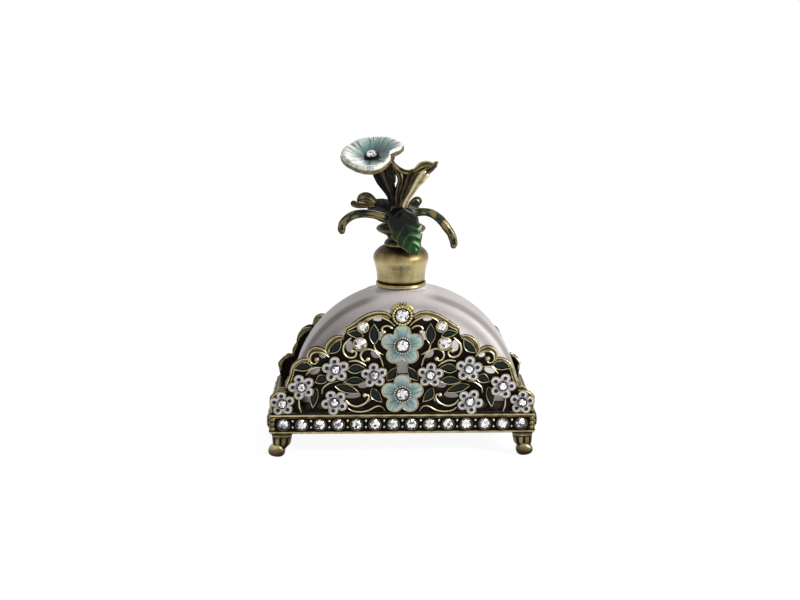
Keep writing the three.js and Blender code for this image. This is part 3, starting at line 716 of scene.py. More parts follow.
# Wires that end in a knob, wires that fade out, and rolls with their radii
WIRES = [
    [(6.0, 15.4), (6.6, 17.6), (7.8, 19.5), (9.4, 20.6), (11.1, 20.8), (12.4, 20.0), (12.9, 18.7),
     (12.3, 17.4), (11.3, 17.0), (10.6, 17.6)],
    [(15.9, 24.3), (17.8, 22.4), (18.2, 20.3), (17.4, 18.7), (16.0, 18.1), (14.6, 18.5), (14.2, 19.6),
     (14.8, 20.4), (15.5, 20.3)],
    [(3.0, 27.4), (4.2, 28.1), (5.6, 28.0), (6.3, 27.1), (5.7, 26.2)],
    [(17.5, 4.2), (16.4, 3.0), (14.4, 2.3), (12.6, 2.8), (11.2, 3.7), (10.4, 5.2), (10.8, 6.1), (11.7, 6.0)],
]
PLAIN_WIRES = [
    [(16.9, 1.8), (15.7, 0.9), (13.2, 0.5), (10.7, 0.9), (8.7, 2.0), (7.4, 2.4), (6.1, 1.9), (5.4, 0.8)],
    [(8.7, 22.3), (8.2, 20.5), (6.9, 19.5), (5.8, 19.0)],
    [(2.3, 28.1), (3.5, 29.4), (5.3, 30.5), (7.4, 31.0), (9.4, 30.6), (11.0, 29.6)],
    [(29.7, 12.7), (28.6, 14.1), (27.3, 14.9), (25.1, 15.0)],
    [(32.2, 4.8), (32.1, 2.4), (31.5, 0.4)],
    [(16.4, 16.9), (14.2, 17.1), (12.2, 16.2), (11.0, 15.2)],
    [(24.9, 6.6), (24.6, 8.3), (22.6, 9.9), (19.9, 10.6)],
    [(22.7, 18.4), (24.7, 19.8), (26.6, 20.1), (28.0, 19.3), (28.5, 17.8), (28.1, 16.5), (27.0, 16.2),
     (26.1, 16.8)],
]
ROLLS = [
    ([(3.6, 31.0), (5.0, 31.9), (7.4, 32.2), (10.0, 31.6), (12.2, 30.5), (14.1, 29.2)],
     (0.6, 0.75, 0.8, 0.8, 0.65)),
    ([(13.9, 29.3), (15.5, 28.2), (17.0, 27.3), (17.4, 26.1)], (0.8, 0.7, 0.6, 0.4)),
    ([(18.2, 24.6), (19.6, 24.7), (21.2, 23.9), (22.6, 22.5), (23.3, 21.0), (23.4, 19.8)],
     (0.5, 0.8, 0.95, 0.8, 0.5)),
    ([(23.0, 19.0), (24.6, 20.4), (26.6, 20.9), (28.3, 20.1), (29.0, 18.5), (28.6, 17.0)],
     (0.4, 0.8, 1.05, 0.9, 0.5, 0.35)),
    ([(28.9, 17.4), (30.8, 17.2), (32.7, 16.1), (33.8, 14.6), (34.2, 13.0)], (0.6, 0.85, 0.8, 0.6, 0.4)),
    ([(34.3, 12.8), (35.1, 10.4), (35.7, 8.6)], (0.5, 0.6, 0.5)),
    ([(36.2, 7.0), (38.3, 6.8), (40.0, 5.4), (40.6, 3.2), (40.4, 0.6)], (0.5, 0.7, 0.8, 0.7, 0.6)),
]
HOOK_END = (26.4, 17.6)
EDGE = [
    (40.5, 0.0), (40.7, 2.4), (40.6, 5.0), (39.2, 6.5), (37.8, 7.8), (36.4, 7.8), (35.8, 9.2), (35.2, 11.4),
    (34.5, 13.2), (33.9, 14.9), (32.6, 16.3), (30.6, 17.3), (29.4, 18.0), (29.1, 19.4), (27.9, 20.7),
    (26.2, 21.1), (24.4, 20.5), (23.4, 20.2), (23.2, 21.4), (22.4, 23.2), (20.9, 24.5), (19.3, 24.9),
    (18.1, 24.7), (17.5, 26.0), (17.0, 27.2), (15.5, 28.1), (14.0, 29.3), (12.3, 30.4), (10.1, 31.5),
    (7.6, 32.1), (5.2, 31.8), (3.9, 31.6), (3.4, 32.8), (2.2, 34.0), (1.1, 34.7), (0.0, 35.0),
]
# The edge as seen from inside the stand: lumps that curl over, with their radii
INNER_CURLS = [
    ([(40.4, 2.6), (40.4, 4.7), (39.5, 6.0)], (0.6, 1.05, 0.7)),
    ([(39.0, 6.4), (37.7, 7.3), (36.4, 7.4)], (0.5, 1.0, 0.7)),
    ([(36.0, 7.8), (35.6, 9.6), (34.9, 11.4)], (0.5, 0.9, 0.6)),
    ([(34.5, 12.6), (33.5, 14.6), (32.1, 16.0), (30.2, 16.8)], (0.6, 1.0, 1.1, 0.7)),
    ([(29.0, 18.4), (27.8, 20.1), (26.2, 20.5), (24.5, 19.9)], (0.6, 1.0, 1.1, 0.7)),
    ([(23.0, 20.9), (22.1, 22.6), (20.7, 23.9), (19.2, 24.3)], (0.6, 1.0, 1.0, 0.7)),
    ([(17.1, 26.4), (15.4, 27.6), (13.7, 28.8)], (0.6, 0.9, 0.7)),
    ([(12.0, 29.9), (9.9, 30.9), (7.5, 31.5), (5.2, 31.2)], (0.6, 0.9, 0.9, 0.6)),
]
# Openings in the ground: middle, half width and height, and tilt in degrees
OPENINGS = [((30.0, 3.7), (1.7, 2.7), 5), ((27.2, 13.6), (1.9, 1.1), -20), ((24.6, 18.5), (1.2, 0.8), 10),
            ((25.3, 2.1), (1.4, 0.9), 0), ((8.3, 18.9), (1.6, 1.2), 40), ((15.3, 5.4), (2.6, 0.8), -5),
            ((12.0, 8.9), (1.9, 1.0), -10), ((7.6, 30.0), (1.5, 0.6), 0), ((16.3, 21.4), (1.1, 1.9), 0),
            ((6.7, 24.7), (1.0, 1.5), 0), ((10.9, 3.3), (1.8, 0.55), -45), ((0.0, 14.5), (2.0, 2.3), 0)]


def roll(path, radii, hand):
    """A scroll's ribbed roll, with a fine wire on either side of its back."""
    radii = np.array(radii)
    made = [tube(path, 0.95 * radii, 30, 16, tall=0.9, ridges=5, depth=0.1, wear_and_shading=(-0.25, 0.72))]
    for shift, thick, lift in ((-0.5, 0.24, 0.5), (1.0, 0.25, 0.25)):
        line = beside(path, hand * shift * radii, 30) + (0, 0, lift)
        made.append(tube(line, (0.6 * thick, thick, thick, 0.6 * thick), 30, 8, wear_and_shading=(0.1, 1.0)))
    return made


def leaf_cell(root, tip, width, bend):
    """A leaf's rounded rim, and the enamel inside it, which swells towards the rib."""
    outline, rib = leaf(root, tip, width, bend)
    rim = [(-0.1, 0, -0.6, 0.05), (-0.06, 0, 0.1, 0.3), (-0.04, 0, 0.42, 0.8), (0.06, 0, 0.52, 1),
           (0.2, 0, 0.42, 0.8), (0.25, 0, 0.1, 0.1), (0.25, 0, -0.6, 0.05)]
    enamel = [(0.24, 1, -0.5, 0.2), (0.24, 0, -0.5, 0.2), (0.24, 0, 0.05, 0), (0.3, 0.1, 0.16, 0),
              (0.3, 0.4, 0.3, 0.5), (0.3, 0.8, 0.34, 0.7), (0.3, 1, 0.26, 1)]
    return cell(outline, rib, rim, ring=True), cell(outline, rib, enamel)


def collet(radius):
    """A small turned setting and its stone."""
    wall = turned([(0, -1, 0.1), (radius, -1, 0.1), (radius, 0.4, 0.3), (radius - 0.1, 0.75, 0.8),
                   (radius - 0.3, 0.85, 1), (radius - 0.46, 0.75, 0.7), (radius - 0.5, 0.3, 0.1),
                   (0, 0.3, 0)])
    return wall, placed(stone(radius - 0.5, 0.95), (0, 0, 0.45))


def top_jewel():
    """The crest's setting, with a ring and two arcs of beads and a scroll on either side, and its stone."""
    collar = turned([(0, -0.6, 0.1), (3.25, -0.6, 0.2), (3.3, 0.3, 0.4), (3.05, 0.8, 0.7), (2.5, 0.85, 0.2),
                     (2.2, 0.7, 0), (2.1, 0.4, 0), (0, 0.4, 0)], 36)
    arcs = [placed(bead(size, wear_and_shading), (reach * math.sin(a), reach * math.cos(a) * 0.93, lift))
            for reach, size, wear_and_shading, lift, spread, count in ((3.45, 0.4, 0.7, 0.3, 50, 8),
                                                           (4.0, 0.36, 0.6, 0, 20, 4))
            for a in np.radians(np.linspace(-spread, spread, count))]
    sides = [tube([(3.3 * hand, 0.6, -0.2), (3.1 * hand, 2.0, -0.1), (1.9 * hand, 3.1, -0.1),
                   (0.6 * hand, 3.8, -0.2)],
                  (0.3, 0.5, 0.5, 0.35), 16, 8, wear_and_shading=(0, 0.8)) for hand in (1, -1)]
    return [collar, *bead_ring(0.4, 0.95, 2.75, 0.8, 20), *arcs, *sides], placed(stone(2.05, 1.3),
                                                                                 (0, 0, 0.55))


def build_panel(face, towards):
    """One openwork panel and what is set on it; towards is 1 for the front and -1 for the back."""

    def at(x, rise, hand=1):
        """A place on one half of the panel; the back panel bends down a little towards its crest."""
        bend = CREST_BEND * min(max((rise - CREST_FOOT) / CREST_REACH, 0), 1)
        return hand * x, rise if towards > 0 else rise - bend

    def lifted(line, hand, lift=0.0):
        return [(*at(x, rise, hand), lift) for x, rise in line]

    def stood(shapes):
        return [placed(shape, (0, -towards * PANEL_FACE, BAND_TOP), (0, -towards, 0),
                       (0, 0, 1)) for shape in shapes]

    edge = smooth([at(*place) for place in EDGE], 3 * len(EDGE))
    outline = np.vstack([edge, (edge * (-1, 1))[-2::-1]])
    holes = [(at(x, rise, hand), size, hand * tilt) for (x, rise), size, tilt in OPENINGS for hand in (1, -1)
             if x or hand == 1]
    # The ground is a near-black sheet with only a few openings: painted shadow, standing in for the shaded
    # flask seen through the openwork.
    ground = sheet_with_holes(outline, holes, GROUND, PANEL_BACK)
    piece(f"{face}_panel_ground", stood([ground]), SHADOW_BRASS, f"{face}_panel")

    rolls, curls, wires, rims, enamels, walls, jewels = ([] for _ in range(7))
    for hand in (1, -1):
        for line, radii in ROLLS:
            rolls += roll(lifted(line, hand, -0.25), radii, hand)
        for line, radii in INNER_CURLS:
            curls.append(tube(lifted(line, hand, PANEL_BACK - 0.1), radii, 24, 14, (hand * 0.7, 1, -0.3),
                              ridges=3, depth=0.1, wear_and_shading=(-0.2, 1.0)))
        for line in WIRES:
            wires.append(tube(lifted(line, hand), (0.3, 0.36, 0.36, 0.3), 34, 8, tall=1.25, wear_and_shading=(0.1, 1.0)))
            wires.append(placed(bead(0.72, 0.9, 0.9, 12), (*at(*line[-1], hand), 0.15)))
        for line in PLAIN_WIRES:
            wires.append(tube(lifted(line, hand), (0.2, 0.34, 0.34, 0.16), 26, 8, tall=1.25, wear_and_shading=(0.1, 1.0)))
        wires.append(placed(bead(0.85, 0.7, 0.9, 14), (*at(*HOOK_END, hand), 0.15)))
        for root, tip, width, bend in PANEL_LEAVES:
            rim, enamel = leaf_cell(at(*root, hand), at(*tip, hand), width, hand * bend)
            rims.append(rim)
            enamels.append(enamel)
        for x, rise, radius in COLLETS:
            wall, jewel = (placed(shape, (*at(x, rise, hand), 0)) for shape in collet(radius))
            walls.append(wall)
            jewels.append(jewel)
    for part, shapes, finish in (
            ("rolled_edge", rolls, OLIVE), ("inner_curls", curls, OLIVE), ("scroll_wires", wires, BRIGHT),
            ("leaf_rims", rims, BRIGHT), ("leaf_enamel", enamels, INKY), ("collets", walls, OLIVE),
            ("collet_stones", jewels, CRYSTAL)):
        piece(f"{face}_panel_{part}", stood(shapes), finish)

    centre = (*at(0, TOP_JEWEL_RISE), 0)
    setting, jewel = top_jewel()
    piece(f"{face}_top_jewel_setting", stood([placed(shape, centre) for shape in setting]), GILT,
          f"{face}_top_jewel")
    piece(f"{face}_top_jewel_stone", stood([placed(jewel, centre)]), CRYSTAL)

    def set_flower(name, parts, place, spin=0.0):
        """A flower's parts on the panel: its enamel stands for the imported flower."""
        for part, shapes, finish in parts:
            shapes = stood([placed(shape, place, spin=spin) for shape in shapes])
            piece(f"{name}_{part}", shapes, finish, *([name] if part == "enamel" else []))

    for name, rise in LARGE_FLOWERS.items():
        set_flower(f"{face}_{name}_large_flower", large_flower(), (0, rise, 0))
    for name, (x, rise, scale, spin) in SMALL_FLOWERS.items():
        for hand in (1, -1):
            side = "right" if hand == towards else "left"
            set_flower(f"{face}_{side}_{name}_flower", small_flower(scale), (*at(x, rise, hand), 0),
                       -hand * spin)


def build_band(name, length, count, reach, facing):
    """A band at a reach from the middle: rolled rails, its stones in dark cups, and pairs of beads between
    them. The side bands have a rolled top edge too. Profiles are (height, distance out, wear and shading)."""

    def stood(shapes):
        return [placed(shape, reach * np.array(facing), facing, (0, 0, 1)) for shape in shapes]

    half = length / 2
    swing = np.radians(np.linspace(-60, 240, 11))
    low = [(BAND_BOTTOM + 0.44 + 0.44 * math.sin(a), 0.14 + 0.46 * math.cos(a), 0.3 + 0.55 * math.cos(a))
           for a in swing]
    high = [(BAND_TOP + BAND_BOTTOM - height, out, wear_and_shading) for height, out, wear_and_shading in low]
    inner = [(BAND_TOP - 1.15 + 0.2 * math.sin(a), 0.22 * math.cos(a),
              0.2 + 0.4 * math.cos(a)) for a in swing]
    crown = [(BAND_TOP - 0.2, -2, 0), (BAND_TOP - 0.2, -0.1, 0.2), (BAND_TOP + 0.1, -0.15, 0.5),
             (BAND_TOP + 0.22, -0.6, 0.6), (BAND_TOP + 0.18, -1.3, 0.35), (BAND_TOP, -1.85, 0.1)]
    field = [(BAND_BOTTOM + 0.1, -1, 0.1), (BAND_BOTTOM + 0.1, -0.1, 0.1), (BAND_TOP - 0.1, -0.1, 0.1),
             (BAND_TOP - 0.1, -1, 0.1)]
    rails = [low, high, inner, crown] if facing[0] else [low, high, inner]
    places = STONE_PITCH * (np.arange(count) - (count - 1) / 2)
    cups = [placed(cup(2.08, 1.0, 1.74), (x, STONE_RISE, 0)) for x in places]
    stones = [placed(stone(1.7, 0.95), (x, STONE_RISE, 0.42), spin=23 * k) for k, x in enumerate(places)]
    pairs = [placed(bead(0.46, 0.85), (x, STONE_RISE + rise, 0.1))
             for x in (places[:-1] + places[1:]) / 2 for rise in (-1, 1)]
    knobs = [placed(bead(0.85, 0.6, 0.8, 12), (end * (half - 0.9), STONE_RISE + rise, 0))
             for end in (-1, 1) for rise in (-1.5, 0, 1.5)]
    piece(f"{name}_band_field", stood([bar(-half, half, field)]), DARK, f"{name}_band")
    piece(f"{name}_band_rails", stood([bar(-half, half, rail) for rail in rails]), OLIVE)
    piece(f"{name}_stone_cups", stood(cups), DARK, f"{name}_stone_chain")
    for part, shapes, finish in (("stones", stones, CRYSTAL), ("beads", pairs, SILVERED),
                                 ("end_knobs", knobs, OLIVE)):
        piece(f"{name}_band_{part}", stood(shapes), finish)


def foot(toe_place):
    """The right front foot, a leg that narrows down to a rolled toe.

    The leg's rows give a height, the middle, half the width and the depth, and the wear and shading. Its
    section is |x|^3.5 + |y|^3.5 = 1, with flutes cut in from the collar down, darker in the flutes. The toe
    is a barrel along y, flat underneath, paler on top as a painted highlight and darker below as painted
    shade.
    """
    angle = full_turn(64)
    blocky = (np.abs(np.cos(angle)) ** 3.5 + np.abs(np.sin(angle)) ** 3.5) ** (-1 / 3.5)
    flutes = np.clip(np.cos(9 * angle + 0.9 + 0.5 * np.cos(2 * angle)), 0, 1) ** 1.5
    leg = np.array([(7.3, 37.6, 0, 0, 0.5), (7.3, 37.6, 3.25, 2.3, 0.5), (6.8, 37.6, 3.2, 2.3, 0.7),
                    (6.45, 37.65, 3.0, 2.15, 0.2), (6.0, 37.65, 3.05, 2.15, 0.6), (5.2, 37.7, 2.95, 2.1, 0.6),
                    (4.4, 37.75, 2.85, 2.0, 0.6), (3.8, 37.85, 2.6, 1.9, 0.5), (3.3, 38.1, 2.2, 1.8, 0.1),
                    (2.4, 38.5, 1.9, 1.6, 0.0), (2.4, 38.6, 0, 0, 0.0)])
    z, middle, wide, deep, wear_and_shading = (leg[:, k : k + 1] for k in range(5))
    cut = flutes * np.where((z < 6.2) & (z > 3.0), 0.22, 0.02)
    reach = blocky * (1 - cut)
    shaft = np.stack([middle + wide * reach * np.cos(angle), -FOOT_MIDDLE + deep * reach * np.sin(angle),
                      np.broadcast_to(z, reach.shape)], -1)
    swing = np.radians(np.linspace(-90, 90, 15))[:, None]
    depth = np.sign(np.sin(swing)) * np.abs(np.sin(swing)) ** 0.6
    girth = np.abs(np.cos(swing)) ** 0.6
    lobed = girth * (1 + 0.06 * np.cos(3 * angle + 1.0))
    toe = np.stack([toe_place + 2.65 * lobed * np.cos(angle),
                    -FOOT_MIDDLE + 2.5 * np.broadcast_to(depth, lobed.shape),
                    np.maximum(1.95 + 2.15 * lobed * np.sin(angle), 0)], -1)
    return [surface(shaft, marks_for(shaft, wear_and_shading=wear_and_shading - 3.5 * cut)),
            surface(toe, marks_for(toe, wear_and_shading=0.45 + 0.42 * np.sin(angle) * girth))]


def build_glass():
    """The half-moon flask: its outline carried over a swelling face, a round edge and the same behind."""
    corner, rounding, turn, face, swell = 2.6, 4.6, 5.2, GLASS_FACE - 0.9, 2.2
    across = GLASS_RADIUS - corner
    rise = GLASS_BOTTOM + corner - GLASS_CENTRE
    reach = math.sqrt(across**2 - rise**2)
    meeting = math.atan2(rise, reach)
    low = np.linspace(-math.pi / 2, meeting, 10)[:-1]
    high = np.linspace(meeting, math.pi / 2, 60)
    right = np.vstack([
        np.column_stack([np.linspace(0, reach, 10)[:-1], np.full(9, GLASS_BOTTOM)]),
        np.column_stack([reach + corner * np.cos(low), GLASS_BOTTOM + corner + corner * np.sin(low)]),
        np.column_stack([GLASS_RADIUS * np.cos(high), GLASS_CENTRE + GLASS_RADIUS * np.sin(high)])])
    outline = np.vstack([right, (right * (-1, 1))[-2:0:-1]])
    bend = np.radians(np.linspace(0, 90, 8))
    arc = [(rounding * (1 - math.sin(a)), 0, face - turn + turn * math.cos(a), 0.5) for a in bend]
    dome = [(rounding, share, face + swell * (1 - (1 - share) ** 2), 0.5) for share in (1, 0.8, 0.6, 0.4,
                                                                                        0.2)]
    front = dome + arc
    back = [(inwards, share, -height, wear_and_shading) for inwards, share, height, wear_and_shading in front[::-1]]
    heart = (0, GLASS_CENTRE + 12.2)
    body = placed(cell(outline, heart, front + back), (GLASS_PLACE, 0, 0), (0, -1, 0), (0, 0, 1))
    neck = turned(raised([(0, -10, 0), (9.2, -5.6, 0), (8.2, -3.6, 0), (7.3, -2.9, 0), (6.8, -2.2, 0),
                          (6.7, -0.3, 0), (6.4, 0, 0), (5.3, 0, 0), (5, -0.3, 0), (5, -8.5, 0), (0, -8.5, 0)],
                         NECK_TOP), 48)
    piece("frosted_flask", [body, neck], GLASS, "glass_bottle")
    # The ring's wear and shading is highest on its rolled bulge and lowest beneath and inside it: rubbed
    # wear, with a painted highlight and painted shade.
    ring = turned(raised([
        (6.8, -2.6, -0.2), (7.6, -2.6, -0.1), (7.95, -2.45, 0.5), (8.05, -2.2, 0.95), (8.05, -1.9, 0.8),
        (7.95, -1.75, 0.55), (8, -1.6, 0.8), (7.95, -1.4, 0.7), (7.75, -1.28, 0.3), (7.4, -1.22, -0.3),
        (7, -1.2, -0.4), (7, -0.1, -0.4), (6.8, -0.1, -0.4)], NECK_TOP), 64, ring=True)
    piece("rolled_neck_ring", [ring], SATIN, "neck_ring")


def build_cap():
    """The urn-shaped cap, with a skirt round the ring. Its wear and shading paints light and shade: a pale
    band of painted light round the widest part, painted shade on the shoulder and top, and a painted shade
    line at each step of its profile.
    """
    profile = [(0, 0, -0.4), (7.12, 0, -0.4), (7.12, -1.05, -0.4), (7.45, -1.15, -0.3), (7.6, -1.05, 0.35),
               (7.68, -0.6, 0.7), (7.7, 0, 0.8), (7.75, 0.8, 0.75), (7.8, 1.4, 0.8), (7.95, 2.2, 0.85),
               (8.15, 3.2, 0.9), (8.4, 4.2, 1), (8.65, 5, 0.95), (8.8, 5.7, 0.8), (8.85, 6.4, 0.66),
               (8.7, 7.2, 0.54), (8.2, 8.1, 0.42), (7.3, 9, 0.28), (6.3, 9.7, 0.1), (5.5, 10, -0.2),
               (5.3, 10.2, 0.1), (5.4, 10.6, 0.6), (5.35, 11, 0.3), (5.1, 11.25, -0.1), (5.1, 11.5, 0.4),
               (4.7, 11.8, 0), (4.3, 12.1, 0.05), (4.2, 12.7, 0.25), (4.5, 13.2, 0.1), (5.3, 13.8, 0.1),
               (6.6, 14.4, 0.2), (7.5, 14.9, 0.35), (7.9, 15.5, 0.45), (7.6, 16.1, 0.2), (6.6, 16.7, 0),
               (5, 17, -0.2), (3.2, 17.2, -0.2), (0, 17.2, -0.2)]
    stopper_piece("urn_cap", [turned(raised(profile, CAP_BOTTOM), 72)], SATIN, "stopper_cap")


# Finial: places as x, y and height above the cap
def above(points):
    return [(x, y, CAP_TOP + z) for x, y, z in points]


def ribbed(lines, sides, depth):
    """Stalks with their lines, radii, upper sides, ridges, and wear and shading."""
    return [tube(above(line), radii, 44, sides, up, ridges=ridges, depth=depth, wear_and_shading=wear_and_shading)
            for line, radii, up, ridges, wear_and_shading in lines]


def broad_leaf(points, widths, fold, teeth, steps=40, up=(0, -0.85, 0.5), veins=0.07):
    """A leaf on a path: half its width w/2 is read from widths, its edge is toothed, its sides rise by fold
    |s|, and its thickness is 0.28 (1 - s^4) either way, with veins raised over it."""
    path = smooth(above(points), steps)
    step = unit(np.gradient(path, axis=0))
    side = unit(np.cross(step, up))
    lift = np.cross(side, step)
    t = np.linspace(0, 1, steps)
    s = np.linspace(-1, 1, 17)
    loop = np.concatenate([s, s[-2:0:-1]])
    over = np.where(np.arange(len(loop)) < len(s), 1, -1)
    known = smooth(np.column_stack([np.linspace(0, 1, len(widths)), widths, widths]), steps)[:, 1]
    tooth = 1 - 0.16 * ((t * teeth) % 1) * np.sin(np.pi * t) ** 0.5
    half = np.maximum(known, 0.05)[:, None] / 2 * np.where(np.abs(loop) > 0.8, tooth[:, None], 1)
    thick = 0.28 * (1 - loop**4) * over
    ripple = veins * np.sin(2 * np.pi * (t[:, None] * 6 - np.abs(loop) * 1.3)) * (over > 0) * (1 - loop**4)
    shrink = np.clip(known / (0.35 * max(widths)), 0, 1)[:, None]
    rise = (fold * np.abs(loop) * half + (thick + ripple) * shrink)[..., None]
    made = path[:, None] + side[:, None] * (half * loop)[..., None] + lift[:, None] * rise
    root, tip = (np.broadcast_to(end, (1, len(loop), 3)) for end in (path[0], path[-1]))
    made = np.concatenate([root, made, tip])
    return surface(made, marks_for(made, np.abs(loop), np.concatenate([[0], t, [1]])[:, None]))


def strap_leaf(points, radii, up=(0, -0.8, 0.6)):
    """A strap leaf: a flat core, and two uneven rolled edges that meet in a blunt, curled tip."""
    points, radii = above(points), np.array(radii)
    uneven = 1 + 0.16 * np.sin(2.6 * np.arange(24)) * np.sin(np.arange(24))
    core = tube(points, 1.1 * radii, 48, 16, up, tall=0.6, ridges=2, depth=0.08, wear_and_shading=(0.2, 0.6))
    edge = np.interp(np.linspace(0, 1, 24), np.linspace(0, 1, len(radii)), radii) * uneven
    edges = [tube(beside(points, hand * 0.9 * radii, 64, up), 0.26 * edge, 72, 10, up, tall=1.3, ridges=3,
                  depth=0.16, wear_and_shading=(-0.2, 0.8)) for hand in (-1, 1)]
    return core, [*edges, placed(bead(radii[-1] * 1.15, 0.5, 0.75, 14), points[-1], up)]


def build_stem():
    trunk = turned(raised([(0, 0, 0.1), (3.6, 0, 0.1), (3.3, 0.9, 0.3), (2.9, 2.2, 0.1), (3, 4, 0.3),
                           (2.9, 5.5, 0.2), (2.5, 7, 0.2), (0, 7.5, 0.1)], CAP_TOP), 60, lobes=9, depth=0.06)
    front = (0.3, -1, 0.2)
    stalks = ribbed([
        ([(-1.6, 0, 4.0), (-2.0, 0, 5.7), (-2.6, 0, 7.9), (-3.4, 0, 10.3), (-4.4, 0.2, 12.7),
          (-5.5, 0.6, 15.6), (-6.3, 1.4, 18.2)], (1.6, 1.45, 1.45, 2.0, 2.7, 3.0, 2.8), front, 9,
         (-0.2, 0.42)),
        ([(-2.6, 0, 13.4), (-2.9, 0, 15.8), (-3.3, 0, 18.2), (-3.5, 0.5, 20.0), (-3.4, 1.0, 21.2)],
         (1.0, 1.2, 1.2, 1.25, 1.5), front, 5, (-0.2, 0.5)),
        ([(-0.9, -0.8, 5.0), (-1.0, -1.0, 8.4), (-0.7, -1.0, 11.1), (-0.1, -1.0, 13.2), (-0.2, -0.9, 15.0),
          (-1.2, -0.7, 16.9), (-2.6, -0.5, 18.8)], (1.3, 1.15, 1.05, 1.0, 1.0, 1.0, 0.9), front, 5,
         (-0.3, 0.85)),
        ([(-0.2, -1.2, 5.4), (0.2, -1.4, 9.0), (0.8, -1.3, 11.4), (1.4, -1.2, 14.0), (2.0, -1.0, 16.0)],
         (1.1, 1.1, 1.1, 1.1, 0.9), front, 4, (-0.4, 0.5)),
        ([(-3.4, -0.2, 20.0), (-1.8, -0.5, 17.9), (0.4, -0.8, 16.4), (2.6, -1.2, 16.2), (4.6, -1.7, 17.0)],
         (0.8, 0.95, 1.05, 1.0, 0.8), front, 5, (-0.2, 0.95))], 40, 0.11)
    stopper_piece("ribbed_stem", [trunk, *stalks], DARK, "finial_stem")
    collar = turned(raised([(0, 0.4, 0.2), (2.8, 0.4, 0.2), (3.7, 1.6, 0.3), (4, 3.2, 0.4), (3.6, 4.8, 0.4),
                            (2.8, 5.9, 0.3), (0, 6.3, 0.2)], CAP_TOP), 60, lobes=5, depth=0.09)
    shoulder = placed(bead(3.5, 0.3, 0.72, 28), (2.3, -0.6, CAP_TOP + 3.3))
    stopper_piece("leaf_collar", [collar, shoulder], SHADE)


def build_bud():
    side, over = (1, -0.7, 0.2), (0, -0.5, 1)
    throat, *lips = ribbed([
        ([(0.6, -1.9, 5.2), (0.9, -2.0, 6.3), (1.8, -2.0, 8.2), (2.8, -2.0, 9.8), (3.9, -2.0, 11.8),
          (4.9, -2.0, 13.6), (6.2, -2.0, 15.2), (7.2, -2.0, 15.9)], (1.2, 1.3, 1.1, 1.2, 1.45, 1.7, 2.1, 1.9),
         side, 5, (-0.1, 0.95)),
        ([(0.2, -1.6, 6.2), (0.7, -1.7, 9.3), (1.8, -1.6, 12.0), (2.6, -1.5, 14.6), (3.9, -1.6, 16.4)],
         (1.0, 1.15, 1.3, 1.35, 1.1), side, 4, (-0.3, 0.6)),
        ([(3.6, -1.9, 16.6), (4.8, -2.0, 17.4), (6.4, -2.1, 18.6), (8.2, -2.1, 19.0), (10.0, -2.0, 18.7),
          (11.0, -1.9, 19.3)], (0.6, 0.8, 1.15, 1.1, 0.9, 0.7), over, 4, (-0.2, 0.95)),
        ([(6.0, -2.8, 15.9), (7.9, -2.7, 16.9), (9.4, -2.5, 17.6), (10.6, -2.2, 18.5)],
         (0.9, 1.0, 0.95, 0.75), over, 4, (-0.3, 0.7)),
        ([(6.3, -3.0, 15.6), (7.8, -3.0, 15.9), (9.3, -2.6, 16.8), (10.3, -2.4, 17.6)],
         (0.4, 0.45, 0.4, 0.3), over, 0, (0.1, 1.0))], 24, 0.12)
    stopper_piece("curled_trumpet_bud", lips, OLIVE, "trumpet_bud")
    stopper_piece("trumpet_bud_throat", [throat], BRIGHT)


# The finial flower's rim: degrees round from the back, distance from the crystal and height
FLOWER_RIM = [(11, 9.6, 1.2), (30, 9.8, 1.1), (46, 10.1, 0.6), (61, 10.0, 0.9), (84, 9.7, 0.9),
              (108, 9.0, 0.8), (130, 8.5, 0.6), (150, 8.6, 0.3), (166, 8.7, 0.0), (181, 8.8, -0.2),
              (197, 8.6, 0.0), (211, 8.2, 0.3), (226, 7.6, 0.6), (238, 7.2, 0.8), (250, 6.2, 0.9),
              (260, 6.0, 0.9), (268, 6.9, 0.9), (276, 8.9, 0.7), (286, 10.4, 0.6), (300, 11.0, 0.8),
              (312, 10.4, 1.0), (329, 10.3, 1.2), (352, 9.3, 1.3)]
FLOWER_FOLDS = np.array([-10, 44, 140, 250, 318, 350])


